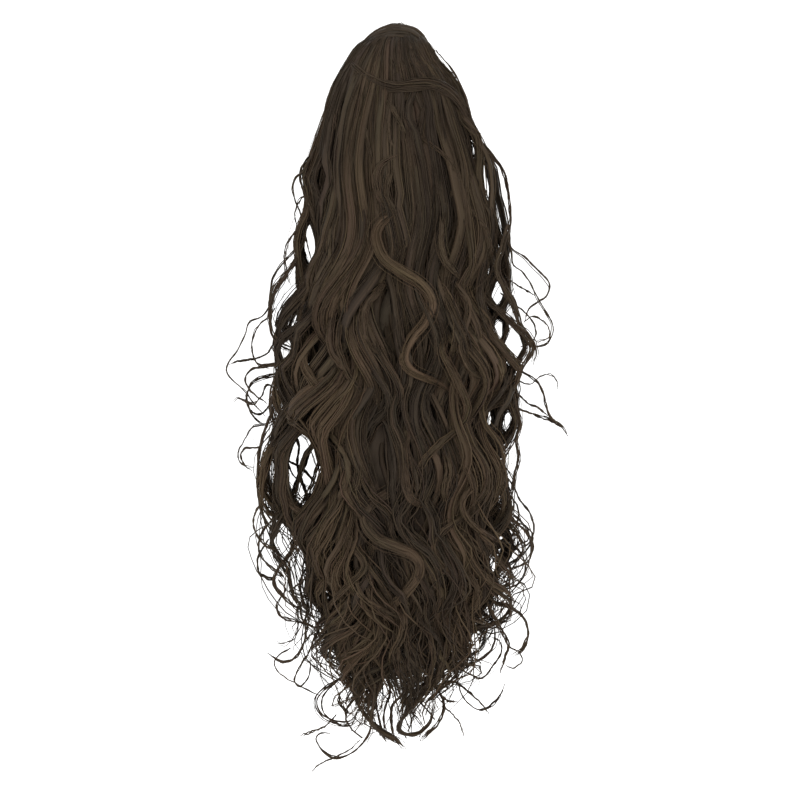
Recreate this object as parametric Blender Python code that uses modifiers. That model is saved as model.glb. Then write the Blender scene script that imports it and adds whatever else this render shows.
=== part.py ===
"""Long curly ponytail hairpiece on a claw clip, in metres, hanging as when it is worn.

The origin is the middle of the clip's mouth, between the tips of its teeth, where it grips the
gathered hair. +Z is up, and +Y points out of the mouth, towards the head. The hair is modelled
as two cores with locks fused to them: a crown that wraps the clip, and the long fall below it.
"""

import math
import random

import bmesh
import bpy
from mathutils import Matrix, Vector

# Driving dimensions of the clip
CLIP_RADIUS = 0.020
CLIP_WALL = 0.0025
CLIP_LENGTH = 0.076
MOUTH_GAP = 0.014
TOOTH_PITCH = 0.013
SLOT_WIDTH = 0.0055
SLOT_DEPTH = 0.015
SPINE_RADIUS = 0.0042
SPINE_LENGTH = 0.034
TAB_REACH = 0.015
TAB_WALL = 0.0025
TAB_HEIGHT = 0.030
TAB_SPREAD = math.radians(24)

# Driving dimensions of the hair, whose thickness over the clip is given above, below and in front
DOME_THICKNESS = 0.019
HEM_THICKNESS = 0.006
FRONT_THICKNESS = 0.0243
BACK_REACH = 0.026
FALL_LENGTH = 0.486
HALF_WIDTH = 0.100
FALL_LOCK_RADIUS = 0.0105
CROWN_LOCK_RADIUS = 0.0062
CURL_RADIUS = 0.0045
TIP_RADIUS = 0.0055
WAVE_HEIGHT = 0.012
WAVE_PITCH = 0.126
CLEARANCE = 0.0003

# How the hair is divided, how far a lock leans, and where a lock starts and stops being full
FALL_LOCKS = 17
FALL_STATIONS = 23
CROWN_LOCKS = 12
CROWN_STATIONS = 8
CURL_STATIONS = 10
WISP_STATIONS = 12
SIDES_OF_CORE = 18
SQUARENESS = 2.3
CROWDING = 0.18
CROWN_LEAN = 0.10
ROOT_SHARE = 0.12
FULL_UNTIL = 0.66
BULGE_SHARE = 0.3

# The jaws close on the origin, so the clip's axis lies behind it
CLIP_AXIS_Y = -math.sqrt(CLIP_RADIUS**2 - (MOUTH_GAP / 2) ** 2)
CLIP_FRONT_Y = CLIP_AXIS_Y - CLIP_RADIUS - TAB_REACH
FRONT_REACH = FRONT_THICKNESS - CLIP_FRONT_Y
CROWN_RISE = CLIP_LENGTH / 2 + DOME_THICKNESS
HEM_Z = -(CLIP_LENGTH / 2 + HEM_THICKNESS)
CROWN_HEIGHT = CROWN_RISE - HEM_Z

# Sections of the crown's outline. drop is a share of CROWN_HEIGHT from its top, middle and
# half_width are shares of HALF_WIDTH, front of FRONT_REACH and back of BACK_REACH. core is the
# share of the outline that the core fills under its locks.
CROWN_SECTIONS = (
    # drop, middle, half_width, front, back, core
    (0.00, 0.03, 0.08, 0.32, -0.45, 0.90),
    (0.06, 0.03, 0.22, 0.50, -0.15, 0.90),
    (0.18, 0.00, 0.35, 0.68, 0.10, 0.90),
    (0.41, 0.02, 0.49, 0.80, 0.15, 0.91),
    (0.65, 0.03, 0.58, 0.84, 0.15, 0.92),
    (0.88, 0.04, 0.67, 0.87, 0.15, 0.93),
    (1.00, 0.05, 0.72, 0.89, 0.15, 0.93),
)

# Sections of the fall, with drop a share of FALL_LENGTH below the hem
FALL_SECTIONS = (
    # drop, middle, half_width, front, back, core
    (0.00, 0.05, 0.72, 0.89, 0.15, 0.92),
    (0.07, 0.08, 0.81, 0.93, 0.25, 0.88),
    (0.17, 0.06, 0.80, 0.95, 0.50, 0.84),
    (0.27, 0.01, 0.93, 1.00, 0.80, 0.82),
    (0.37, 0.02, 0.95, 1.00, 1.00, 0.80),
    (0.47, -0.04, 0.99, 0.98, 1.00, 0.80),
    (0.57, -0.07, 0.98, 0.96, 1.00, 0.78),
    (0.67, 0.02, 0.92, 0.92, 0.90, 0.76),
    (0.74, 0.10, 0.74, 0.84, 0.70, 0.70),
    (0.82, 0.05, 0.62, 0.74, 0.50, 0.56),
    (0.90, 0.00, 0.52, 0.66, 0.35, 0.26),
    (1.00, -0.04, 0.40, 0.60, 0.20, 0.10),
)
CORE_END = 0.90

# Loose curls that swing out of the fall. leaves and length are shares of FALL_LENGTH, reach is a
# share of HALF_WIDTH and depth one of FRONT_REACH.
SIDE_CURLS = (
    # side, leaves, length, reach, depth
    (1, 0.17, 0.17, 1.25, 0.50),
    (1, 0.30, 0.15, 1.21, 0.30),
    (1, 0.64, 0.15, 1.08, 0.40),
    (-1, 0.19, 0.16, 1.06, 0.50),
    (-1, 0.32, 0.15, 1.16, 0.30),
    (-1, 0.60, 0.16, 1.12, 0.40),
)

# Wisps that hang from inside the core's tail. starts and ends are shares of FALL_LENGTH, x a share
# of HALF_WIDTH, spread how far x grows on the way down, and depth a share of FRONT_REACH.
TIP_WISPS = (
    # starts, ends, x, spread, depth
    (0.70, 0.96, -0.30, -0.12, 0.45),
    (0.72, 1.00, -0.06, -0.14, 0.55),
    (0.72, 0.97, 0.10, 0.02, 0.25),
    (0.70, 0.94, 0.24, 0.14, 0.50),
    (0.66, 0.90, 0.40, 0.32, 0.40),
)

HAIR_COLOUR = (0.042, 0.031, 0.020, 1.0)
CLIP_COLOUR = (0.022, 0.015, 0.011, 1.0)


def start_collections():
    """Clears the scene and returns the collections of the parts and of the cutters."""
    for old in list(bpy.data.objects):
        bpy.data.objects.remove(old, do_unlink=True)
    collections = []
    for name in ("curly_ponytail", "cutters"):
        collection = bpy.data.collections.new(name)
        bpy.context.scene.collection.children.link(collection)
        collections.append(collection)
    return collections


def make_material(name, colour, roughness):
    material = bpy.data.materials.new(name)
    material.use_nodes = True
    shader = material.node_tree.nodes["Principled BSDF"]
    shader.inputs["Base Color"].default_value = colour
    shader.inputs["Roughness"].default_value = roughness
    shader.inputs["Metallic"].default_value = 0.0
    return material


def add_part(name, shape, material):
    """Adds an object of this bmesh to the parts."""
    mesh = bpy.data.meshes.new(name)
    shape.to_mesh(mesh)
    shape.free()
    part = bpy.data.objects.new(name, mesh)
    mesh.materials.append(material)
    parts.objects.link(part)
    return part


def add_tool(name, shape, collection):
    """Adds a helper that is cut from or joined to a part, and isn't a part itself."""
    mesh = bpy.data.meshes.new(name)
    shape.to_mesh(mesh)
    shape.free()
    tool = bpy.data.objects.new(name, mesh)
    tool.hide_render = True
    tool.display_type = "WIRE"
    collection.objects.link(tool)
    return tool


def add_group(name):
    """A collection of helpers, kept with the cutters."""
    group = bpy.data.collections.new(name)
    cutters.children.link(group)
    return group


def combine(part, operation, collection):
    """Joins to the part, or cuts from it, all that a collection holds."""
    modifier = part.modifiers.new(f"{operation.lower()}_{collection.name}", "BOOLEAN")
    modifier.operation = operation
    modifier.solver = "EXACT"
    modifier.use_self = True
    modifier.operand_type = "COLLECTION"
    modifier.collection = collection


def island_of(start):
    """The vertices that edges join to this one."""
    found = {start}
    waiting = [start]
    while waiting:
        for edge in waiting.pop().link_edges:
            for vert in edge.verts:
                if vert not in found:
                    found.add(vert)
                    waiting.append(vert)
    return found


def fill_pockets(part):
    """Keeps a hair part's outer skin alone, so that no pocket is left sealed between its locks."""
    graph = bpy.context.evaluated_depsgraph_get()
    shape = bmesh.new()
    shape.from_mesh(part.evaluated_get(graph).to_mesh())
    part.modifiers.clear()
    waiting = set(shape.verts)
    islands = []
    while waiting:
        island = island_of(next(iter(waiting)))
        waiting -= island
        islands.append(island)
    skin = max(islands, key=len)
    bmesh.ops.delete(shape, geom=[v for v in shape.verts if v not in skin], context="VERTS")
    shape.to_mesh(part.data)
    shape.free()


def box(low, high):
    shape = bmesh.new()
    size = Vector(high) - Vector(low)
    middle = (Vector(high) + Vector(low)) / 2
    place = Matrix.Translation(middle) @ Matrix.Diagonal((*size, 1.0))
    bmesh.ops.create_cube(shape, size=1.0, matrix=place)
    return shape


def upright_cylinder(radius, length, centre_y, sides):
    shape = bmesh.new()
    bmesh.ops.create_cone(
        shape,
        cap_ends=True,
        segments=sides,
        radius1=radius,
        radius2=radius,
        depth=length,
        matrix=Matrix.Translation((0.0, centre_y, 0.0)),
    )
    return shape


def split_tube():
    """The two jaws as one open surface: an arc round the clip's axis, open at the mouth."""
    arc_steps = 26
    opening = math.asin(MOUTH_GAP / 2 / CLIP_RADIUS)
    shape = bmesh.new()
    arc = []
    for step in range(arc_steps + 1):
        angle = opening + (2 * math.pi - 2 * opening) * step / arc_steps
        x = CLIP_RADIUS * math.sin(angle)
        y = CLIP_AXIS_Y + CLIP_RADIUS * math.cos(angle)
        arc.append(shape.verts.new((x, y, -CLIP_LENGTH / 2)))
    edges = [shape.edges.new(pair) for pair in zip(arc, arc[1:])]
    raised = bmesh.ops.extrude_edge_only(shape, edges=edges)["geom"]
    top = [v for v in raised if isinstance(v, bmesh.types.BMVert)]
    bmesh.ops.translate(shape, verts=top, vec=(0.0, 0.0, CLIP_LENGTH))
    return shape


def add_tooth_slots(group):
    """Slots cut into the jaws' edges, half a pitch apart left and right so that teeth interleave."""
    for side in (-1, 1):
        shift = side * TOOTH_PITCH / 4
        count = int((CLIP_LENGTH / 2 - abs(shift) - SLOT_WIDTH) / TOOTH_PITCH)
        for index in range(-count, count + 1):
            z = index * TOOTH_PITCH + shift
            low = (min(0, side) * 2 * CLIP_RADIUS, -SLOT_DEPTH, z - SLOT_WIDTH / 2)
            high = (max(0, side) * 2 * CLIP_RADIUS, 2 * CLIP_WALL, z + SLOT_WIDTH / 2)
            add_tool(f"slot_{side}_{index}", box(low, high), group)


def add_spine_and_tabs(group):
    """The spring's barrel down the spine, and the two thumb tabs that open the jaws."""
    spine_y = CLIP_AXIS_Y - CLIP_RADIUS - SPINE_RADIUS / 2
    add_tool("spine", upright_cylinder(SPINE_RADIUS, SPINE_LENGTH, spine_y, 12), group)
    root_y = -CLIP_RADIUS + CLIP_WALL / 3
    for side in (-1, 1):
        tab = box(
            (-TAB_WALL / 2, -CLIP_RADIUS - TAB_REACH, -TAB_HEIGHT / 2),
            (TAB_WALL / 2, root_y, TAB_HEIGHT / 2),
        )
        turn = Matrix.Rotation(side * TAB_SPREAD, 4, "Z")
        bmesh.ops.transform(tab, verts=tab.verts, matrix=Matrix.Translation((0, CLIP_AXIS_Y, 0)) @ turn)
        add_tool(f"tab_{side}", tab, group)


def build_claw_clip():
    clip = add_part("claw_clip", split_tube(), make_material("clip_plastic", CLIP_COLOUR, 0.35))
    wall = clip.modifiers.new("wall", "SOLIDIFY")
    wall.thickness = CLIP_WALL
    wall.offset = 0.0
    wall.use_even_offset = True
    joined = add_group("clip_joined")
    add_spine_and_tabs(joined)
    combine(clip, "UNION", joined)
    slots = add_group("clip_slots")
    add_tooth_slots(slots)
    combine(clip, "DIFFERENCE", slots)


def section_at(sections, drop):
    """The section at this drop, between its neighbours in the table."""
    for upper, lower in zip(sections, sections[1:]):
        if drop <= lower[0]:
            break
    share = min(max((drop - upper[0]) / (lower[0] - upper[0]), 0.0), 1.0)
    ease = share * share * (3 - 2 * share)
    return [a + (b - a) * ease for a, b in zip(upper, lower)]


def point_on(sections, top, height, drop, angle, share=1.0, inset=0.0):
    """A point on a section's outline, or at this share of it, or this far inside it."""
    _, middle, half_width, front, back, _ = section_at(sections, drop)
    front_y = -front * FRONT_REACH
    back_y = back * BACK_REACH
    across = math.copysign(abs(math.cos(angle)) ** (2 / SQUARENESS), math.cos(angle))
    along = math.copysign(abs(math.sin(angle)) ** (2 / SQUARENESS), math.sin(angle))
    x = middle * HALF_WIDTH + (half_width * HALF_WIDTH * share - inset) * across
    y = (front_y + back_y) / 2 + ((back_y - front_y) / 2 * share - inset) * along
    return Vector((x, y, top - drop * height))


def core(sections, top, height, last_drop, steps):
    """A closed loft through the sections, at each one's share of the outline."""
    shape = bmesh.new()
    rings = []
    for step in range(steps + 1):
        drop = last_drop * step / steps
        share = section_at(sections, drop)[5]
        ring = []
        for side in range(SIDES_OF_CORE):
            angle = 2 * math.pi * side / SIDES_OF_CORE
            ring.append(shape.verts.new(point_on(sections, top, height, drop, angle, share=share)))
        rings.append(ring)
    loops = []
    for ring in rings:
        loops.append([shape.edges.new((ring[i - 1], ring[i])) for i in range(SIDES_OF_CORE)])
    for upper, lower in zip(loops, loops[1:]):
        bmesh.ops.bridge_loops(shape, edges=upper + lower)
    bmesh.ops.contextual_create(shape, geom=loops[0])
    bmesh.ops.contextual_create(shape, geom=loops[-1])
    bmesh.ops.recalc_face_normals(shape, faces=shape.faces)
    return shape


def add_lock(name, points, radii, group):
    """A tapered round lock along these points, as a closed mesh."""
    curve = bpy.data.curves.new(name, "CURVE")
    curve.dimensions = "3D"
    curve.bevel_depth = 1.0
    curve.bevel_resolution = 1
    curve.use_fill_caps = True
    spline = curve.splines.new("POLY")
    spline.points.add(len(points) - 1)
    for control, point, radius in zip(spline.points, points, radii):
        control.co = (*point, 1.0)
        control.radius = radius
    guide = bpy.data.objects.new(name, curve)
    bpy.context.scene.collection.objects.link(guide)
    graph = bpy.context.evaluated_depsgraph_get()
    mesh = bpy.data.meshes.new_from_object(guide.evaluated_get(graph))
    bpy.data.objects.remove(guide, do_unlink=True)
    shape = bmesh.new()
    shape.from_mesh(mesh)
    bpy.data.meshes.remove(mesh)
    bmesh.ops.remove_doubles(shape, verts=shape.verts, dist=1e-6)
    bmesh.ops.recalc_face_normals(shape, faces=shape.faces)
    add_tool(name, shape, group)


def evenly_round(index, count):
    """The angle of one lock of this many, closer together on the flat front and back."""
    angle = 2 * math.pi * (index + 0.5) / count
    return angle + CROWDING * math.sin(2 * angle)


def taper(share, root, tip, tip_starts):
    """1 along most of a lock, less at its root, falling to the tip's share at its end."""
    start = root + (1 - root) * min(share / ROOT_SHARE, 1.0)
    fall = max(0.0, (share - tip_starts) / (1 - tip_starts))
    return start * (1 - (1 - tip) * fall)


def on_crown(drop, angle, inset):
    return point_on(CROWN_SECTIONS, CROWN_RISE, CROWN_HEIGHT, drop, angle, inset=inset)


def add_crown_locks(group):
    """Combed strips that run from the top of the dome to its hem, all the way round."""
    for index in range(CROWN_LOCKS):
        around = evenly_round(index, CROWN_LOCKS)
        points = []
        radii = []
        for station in range(CROWN_STATIONS):
            share = station / (CROWN_STATIONS - 1)
            drop = 0.01 + 1.03 * share**1.2
            angle = around + CROWN_LEAN * math.sin(2.2 * share + index)
            radius = CROWN_LOCK_RADIUS * (0.55 + 0.65 * share)
            points.append(on_crown(drop, angle, radius))
            radii.append(radius)
        add_lock(f"crown_lock_{index}", points, radii, group)


def add_top_locks(group):
    """Two strips that arch over the top of the dome, and the lock that crosses its front."""
    for name, depth, span, crest in (("bump_front", 0.50, 0.20, 0.05), ("bump_back", 0.24, 0.17, 0.02)):
        points = []
        for station in range(CROWN_STATIONS):
            swing = -1 + 2 * station / (CROWN_STATIONS - 1)
            x = (0.03 + span * swing) * HALF_WIDTH
            drop = crest + 0.15 * swing * swing
            points.append(Vector((x, -depth * FRONT_REACH, CROWN_RISE - drop * CROWN_HEIGHT)))
        add_lock(name, points, [CROWN_LOCK_RADIUS] * CROWN_STATIONS, group)
    points = []
    for station in range(CROWN_STATIONS):
        share = station / (CROWN_STATIONS - 1)
        drop = 0.24 + 0.19 * share + 0.05 * math.sin(math.pi * share)
        points.append(on_crown(drop, math.radians(205 + 130 * share), 0.0))
    add_lock("cross_lock", points, [0.7 * CROWN_LOCK_RADIUS] * CROWN_STATIONS, group)


def add_fall_locks(group):
    """Waving locks seated all round the fall's core, whose tips hang free at differing heights."""
    rng = random.Random(11)
    for index in range(FALL_LOCKS):
        angle = evenly_round(index, FALL_LOCKS)
        ends = 1.0 - 0.22 * abs(math.cos(angle)) - 0.10 * rng.random()
        phase = 1.9 * index + rng.uniform(-0.5, 0.5)
        turns = FALL_LENGTH / WAVE_PITCH * rng.uniform(0.95, 1.1)
        sideways = Vector((-math.sin(angle), math.cos(angle), 0.0))
        outward = Vector((math.cos(angle), math.sin(angle), 0.0))
        points = []
        radii = []
        for station in range(FALL_STATIONS):
            share = station / (FALL_STATIONS - 1)
            drop = -0.02 + (ends + 0.02) * share
            radius = FALL_LOCK_RADIUS * taper(share, 0.75, 0.22, FULL_UNTIL)
            point = point_on(FALL_SECTIONS, HEM_Z, FALL_LENGTH, drop, angle, inset=radius)
            rise = WAVE_HEIGHT * min(1.0, 0.1 + 2.4 * max(drop, 0.0))
            rise *= 1 + 0.5 * max(0.0, share - FULL_UNTIL)
            wave = phase + 2 * math.pi * turns * drop
            point += sideways * rise * math.sin(wave)
            point += outward * BULGE_SHARE * rise * math.cos(wave)
            points.append(point)
            radii.append(radius)
        add_lock(f"fall_lock_{index}", points, radii, group)


def add_side_curls(group):
    """Slim curls that leave the fall, swing out past its sides and end free."""
    for index, (side, leaves, length, reach, depth) in enumerate(SIDE_CURLS):
        points = []
        radii = []
        root = section_at(FALL_SECTIONS, leaves)
        edge = side * root[1] + root[2] * 0.72
        for station in range(CURL_STATIONS):
            share = station / (CURL_STATIONS - 1)
            swing = math.sin(math.pi * 0.86 * share)
            x = side * (edge + (reach - edge) * swing) * HALF_WIDTH
            y = -depth * FRONT_REACH + WAVE_HEIGHT * math.sin(2 * math.pi * share)
            z = HEM_Z - (leaves + length * share) * FALL_LENGTH
            points.append(Vector((x, y, z)))
            radii.append(CURL_RADIUS * taper(share, 1.0, 0.25, 0.4))
        add_lock(f"side_curl_{index}", points, radii, group)


def add_tip_wisps(group):
    """Waving wisps below the core, each ending in a hook."""
    for index, (starts, ends, across, spread, depth) in enumerate(TIP_WISPS):
        points = []
        radii = []
        for station in range(WISP_STATIONS):
            share = station / (WISP_STATIONS - 1)
            wave = WAVE_HEIGHT * math.sin(1.7 * index + 5.5 * share)
            hook = 2 * WAVE_HEIGHT * max(0.0, share - 0.75)
            x = (across + spread * share) * HALF_WIDTH + wave + math.copysign(hook, spread)
            y = -depth * FRONT_REACH + 0.5 * WAVE_HEIGHT * math.cos(index + 5.0 * share)
            z = HEM_Z - (starts + (ends - starts) * share) * FALL_LENGTH
            points.append(Vector((x, y, z)))
            radii.append(TIP_RADIUS * taper(share, 1.0, 0.3, 0.4))
        add_lock(f"tip_wisp_{index}", points, radii, group)


def channel(radius, half_length, far):
    """A space as round as the clip in front of its axis, and straight from there to the head."""
    arc_steps = 24
    shape = bmesh.new()
    outline = [shape.verts.new((radius, far, -half_length))]
    for step in range(arc_steps + 1):
        angle = -math.pi * step / arc_steps
        place = (radius * math.cos(angle), CLIP_AXIS_Y + radius * math.sin(angle), -half_length)
        outline.append(shape.verts.new(place))
    outline.append(shape.verts.new((-radius, far, -half_length)))
    floor = shape.faces.new(outline)
    raised = bmesh.ops.extrude_face_region(shape, geom=[floor])["geom"]
    top = [v for v in raised if isinstance(v, bmesh.types.BMVert)]
    bmesh.ops.translate(shape, verts=top, vec=(0.0, 0.0, 2 * half_length))
    bmesh.ops.recalc_face_normals(shape, faces=shape.faces)
    return shape


def build_crown():
    """The dome of hair that wraps the clip, hollow for it and open towards the head."""
    shape = core(CROWN_SECTIONS, CROWN_RISE, CROWN_HEIGHT, 1.0, 9)
    crown = add_part("crown_hair", shape, make_material("crown_strands", HAIR_COLOUR, 0.5))
    locks = add_group("crown_locks")
    add_crown_locks(locks)
    add_top_locks(locks)
    combine(crown, "UNION", locks)
    hollow = add_group("crown_hollow")
    far = 2 * HALF_WIDTH
    outer = CLIP_RADIUS + CLIP_WALL / 2 + CLEARANCE
    half_length = CLIP_LENGTH / 2 + CLEARANCE
    add_tool("clip_space", channel(outer, half_length, far), hollow)
    tab_x = (CLIP_RADIUS + TAB_REACH) * math.sin(TAB_SPREAD) + TAB_WALL
    tab_y = CLIP_FRONT_Y - CLEARANCE
    tab_z = max(TAB_HEIGHT, SPINE_LENGTH) / 2 + CLEARANCE
    add_tool("tab_space", box((-tab_x, tab_y, -tab_z), (tab_x, CLIP_AXIS_Y, tab_z)), hollow)
    add_tool("below_hem", box((-far, -far, HEM_Z - far), (far, far, HEM_Z)), hollow)
    combine(crown, "DIFFERENCE", hollow)
    fill_pockets(crown)


def build_fall():
    """The long fall of waves, flat on top where it meets the crown's hem."""
    shape = core(FALL_SECTIONS, HEM_Z - CLEARANCE, FALL_LENGTH, CORE_END, 14)
    fall = add_part("fall_hair", shape, make_material("fall_strands", HAIR_COLOUR, 0.5))
    locks = add_group("fall_locks")
    add_fall_locks(locks)
    add_side_curls(locks)
    add_tip_wisps(locks)
    combine(fall, "UNION", locks)
    trim = add_group("fall_trim")
    far = 2 * HALF_WIDTH
    add_tool("above_fall", box((-far, -far, HEM_Z - CLEARANCE), (far, far, HEM_Z + far)), trim)
    combine(fall, "DIFFERENCE", trim)
    fill_pockets(fall)


parts, cutters = start_collections()
build_claw_clip()
build_crown()
build_fall()
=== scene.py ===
"""A long curly ponytail hairpiece on a claw clip, hanging as when it is worn.

Lengths are metres in the CAD's frame: +Z is up, the front of the hair faces -Y and the clip's
mouth opens towards +Y. Every strand is a thin closed tube that is swept along its own path.
"""

import math

import bmesh
import bpy
import numpy as np
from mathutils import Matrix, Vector


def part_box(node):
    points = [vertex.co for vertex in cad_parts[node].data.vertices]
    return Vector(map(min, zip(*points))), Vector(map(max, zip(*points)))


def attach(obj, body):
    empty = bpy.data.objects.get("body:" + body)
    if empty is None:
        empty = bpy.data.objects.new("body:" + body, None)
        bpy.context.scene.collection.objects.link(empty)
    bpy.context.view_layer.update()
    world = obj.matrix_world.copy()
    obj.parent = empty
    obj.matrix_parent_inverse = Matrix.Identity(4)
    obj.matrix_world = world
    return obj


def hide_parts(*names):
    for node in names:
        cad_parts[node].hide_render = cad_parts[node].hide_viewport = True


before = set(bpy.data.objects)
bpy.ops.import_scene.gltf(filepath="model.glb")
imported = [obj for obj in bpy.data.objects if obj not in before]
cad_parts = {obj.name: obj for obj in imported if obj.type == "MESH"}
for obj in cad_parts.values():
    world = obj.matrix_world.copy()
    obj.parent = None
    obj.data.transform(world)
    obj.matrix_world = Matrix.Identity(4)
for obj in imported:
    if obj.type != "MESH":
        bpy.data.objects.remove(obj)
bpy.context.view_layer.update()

# The claw clip: two toothed jaws of moulded dark brown plastic, each with a tab for the fingers,
# and a spring down the spine between them. The hair is sewn round it, so only its teeth and the
# inside of its jaws show, from behind.

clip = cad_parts["claw_clip"]


class Wire:
    """A shader socket. Arithmetic on it adds Math nodes, and node() adds any other node."""

    def __init__(self, socket):
        self.socket = socket

    @staticmethod
    def node(tree, kind, settings, sockets, output=0):
        made = tree.nodes.new(kind)
        for name, value in settings.items():
            if name == "stops":
                ramp = made.color_ramp.elements
                while len(ramp) < len(value):
                    ramp.new(0.5)
                for stop, (place, colour) in zip(ramp, value):
                    stop.position = place
                    stop.color = colour
            else:
                setattr(made, name, value)
        for name, value in sockets.items():
            if isinstance(value, Wire):
                tree.links.new(value.socket, made.inputs[name])
            else:
                made.inputs[name].default_value = value
        return Wire(made.outputs[output])

    def math(self, operation, first, second):
        tree = self.socket.id_data
        return Wire.node(tree, "ShaderNodeMath", {"operation": operation}, {0: first, 1: second})

    def __add__(self, other):
        return self.math("ADD", self, other)

    __radd__ = __add__

    def __sub__(self, other):
        return self.math("SUBTRACT", self, other)

    def __rsub__(self, other):
        return self.math("SUBTRACT", other, self)

    def __mul__(self, other):
        return self.math("MULTIPLY", self, other)

    __rmul__ = __mul__


def new_material(name, specular):
    """An empty Principled material and its tree and shader."""
    material = bpy.data.materials.new(name)
    material.use_nodes = True
    tree = material.node_tree
    shader = tree.nodes["Principled BSDF"]
    shader.inputs["Specular IOR Level"].default_value = specular
    return material, tree, shader


def clip_plastic():
    """Satin plastic with a fine moulded grain and slightly worn, paler patches."""
    material, tree, shader = new_material("clip_plastic", 0.4)
    place = Wire.node(tree, "ShaderNodeTexCoord", {}, {}, "Object")
    sockets = {"Vector": place, "Scale": 60.0, "Detail": 3.0}
    patches = Wire.node(tree, "ShaderNodeTexNoise", {}, sockets)
    sockets = {"Vector": place, "Scale": 900.0, "Detail": 2.0}
    grain = Wire.node(tree, "ShaderNodeTexNoise", {}, sockets)
    tones = [(0.35, (0.016, 0.011, 0.008, 1.0)), (0.7, (0.034, 0.024, 0.017, 1.0))]
    colour = Wire.node(tree, "ShaderNodeValToRGB", {"stops": tones}, {"Fac": patches})
    tree.links.new(colour.socket, shader.inputs["Base Color"])
    tree.links.new((0.3 + 0.15 * patches).socket, shader.inputs["Roughness"])
    bump = {"Height": grain, "Strength": 0.15, "Distance": 0.0003}
    tree.links.new(Wire.node(tree, "ShaderNodeBump", {}, bump).socket, shader.inputs["Normal"])
    return material


clip.data.materials.clear()
clip.data.materials.append(clip_plastic())

# The under hair: the imported inner mass of the ponytail, which keeps the light from passing
# through between the locks. It is one ridged body of the same fibre, well inside the outline.
# Its colour is painted lighter than the locks' dark end, as painted light in the shaded gaps.

crown_low, crown_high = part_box("crown_hair")
fall_low, fall_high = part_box("fall_hair")
clip_low, clip_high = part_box("claw_clip")
CROWN_TOP = crown_high.z
HEM = fall_high.z
TIPS = fall_low.z
FALL = HEM - TIPS
HALF_WIDTH = 0.100
FRONT_REACH = 0.078
BACK_REACH = 0.026
SQUARENESS = 2.3

# Outline by height. rise is a share of the crown's height above the hem, or of the fall's length
# below it, and the rest are shares of the three reaches above.
OUTLINE = (
    # rise, middle, half_width, front, back
    (1.00, 0.035, 0.03, 0.30, -0.66),
    (0.985, 0.035, 0.12, 0.36, -0.46),
    (0.96, 0.04, 0.18, 0.43, -0.28),
    (0.92, 0.035, 0.225, 0.51, -0.14),
    (0.84, 0.01, 0.275, 0.64, 0.02),
    (0.71, 0.00, 0.360, 0.73, 0.09),
    (0.58, 0.02, 0.480, 0.79, 0.12),
    (0.45, 0.03, 0.55, 0.82, 0.13),
    (0.23, 0.03, 0.62, 0.85, 0.15),
    (-0.03, 0.06, 0.75, 0.90, 0.20),
    (-0.10, 0.07, 0.78, 0.93, 0.35),
    (-0.17, 0.06, 0.78, 0.95, 0.55),
    (-0.27, 0.01, 0.86, 0.98, 0.80),
    (-0.37, 0.02, 0.92, 1.00, 0.95),
    (-0.47, -0.03, 0.95, 0.98, 1.00),
    (-0.57, -0.06, 0.93, 0.96, 1.00),
    (-0.67, 0.02, 0.88, 0.92, 0.90),
    (-0.74, 0.08, 0.76, 0.84, 0.70),
    (-0.82, 0.05, 0.64, 0.74, 0.50),
    (-0.90, 0.00, 0.50, 0.64, 0.35),
    (-1.00, -0.04, 0.36, 0.55, 0.20),
)


def outline_tables():
    """Evenly spaced copies of the outline's columns, lowest first, smoothed more on the fall."""
    rises = np.array([row[0] for row in OUTLINE])
    heights = np.where(rises > 0, HEM + rises * (CROWN_TOP - HEM), HEM + rises * FALL)
    levels = np.linspace(TIPS - 0.03, CROWN_TOP + 0.01, 640)
    reaches = (HALF_WIDTH, HALF_WIDTH, -FRONT_REACH, BACK_REACH)
    columns = []
    for column, reach in enumerate(reaches):
        values = np.array([row[column + 1] for row in OUTLINE]) * reach
        sampled = np.interp(levels, heights[::-1], values[::-1])
        smoothed = []
        for size in (5, 35):
            window = np.hanning(size) / np.hanning(size).sum()
            smoothed.append(np.convolve(np.pad(sampled, size // 2, "edge"), window, "valid"))
        near_top = smooth(HEM, HEM + 0.06, levels)
        columns.append(smoothed[0] * near_top + smoothed[1] * (1 - near_top))
    return levels, columns


def smooth(low, high, value):
    """0 below low, 1 above high and an ease between."""
    share = np.clip((value - low) / (high - low), 0.0, 1.0)
    return share * share * (3 - 2 * share)


LEVELS, COLUMNS = outline_tables()


def outline_at(z):
    """The middle in x and in y of the hair at these heights, and its half width and half depth."""
    middle, half_width, front, back = (np.interp(z, LEVELS, column) for column in COLUMNS)
    return middle, (front + back) / 2, half_width, (back - front) / 2


def on_outline(z, angle, share):
    """x and y at this share of the way out to the outline, at this angle round it."""
    middle_x, middle_y, half_width, half_depth = outline_at(z)
    power = 2 / SQUARENESS
    across = np.sign(np.cos(angle)) * np.abs(np.cos(angle)) ** power
    along = np.sign(np.sin(angle)) * np.abs(np.sin(angle)) ** power
    return middle_x + half_width * share * across, middle_y + half_depth * share * along


# Painted shade: the hair's colour is darkened round the middle of the front, where it lies back in
# shade between the bright locks on both sides
PAINTED_SHADE_MIDDLE = (-0.009, -0.075, -0.284)
PAINTED_SHADE_RADII = (0.034, 0.040, 0.160)

# The streaks are faint on the smooth crown and at their full strength from this far down, and over
# the same heights the crown is painted a little darker, as painted shade
STREAKS_FROM = 0.05
STREAKS_FULL = -0.22
STREAK_STRETCH = (12.0, 7.0, 1.0)


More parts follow.
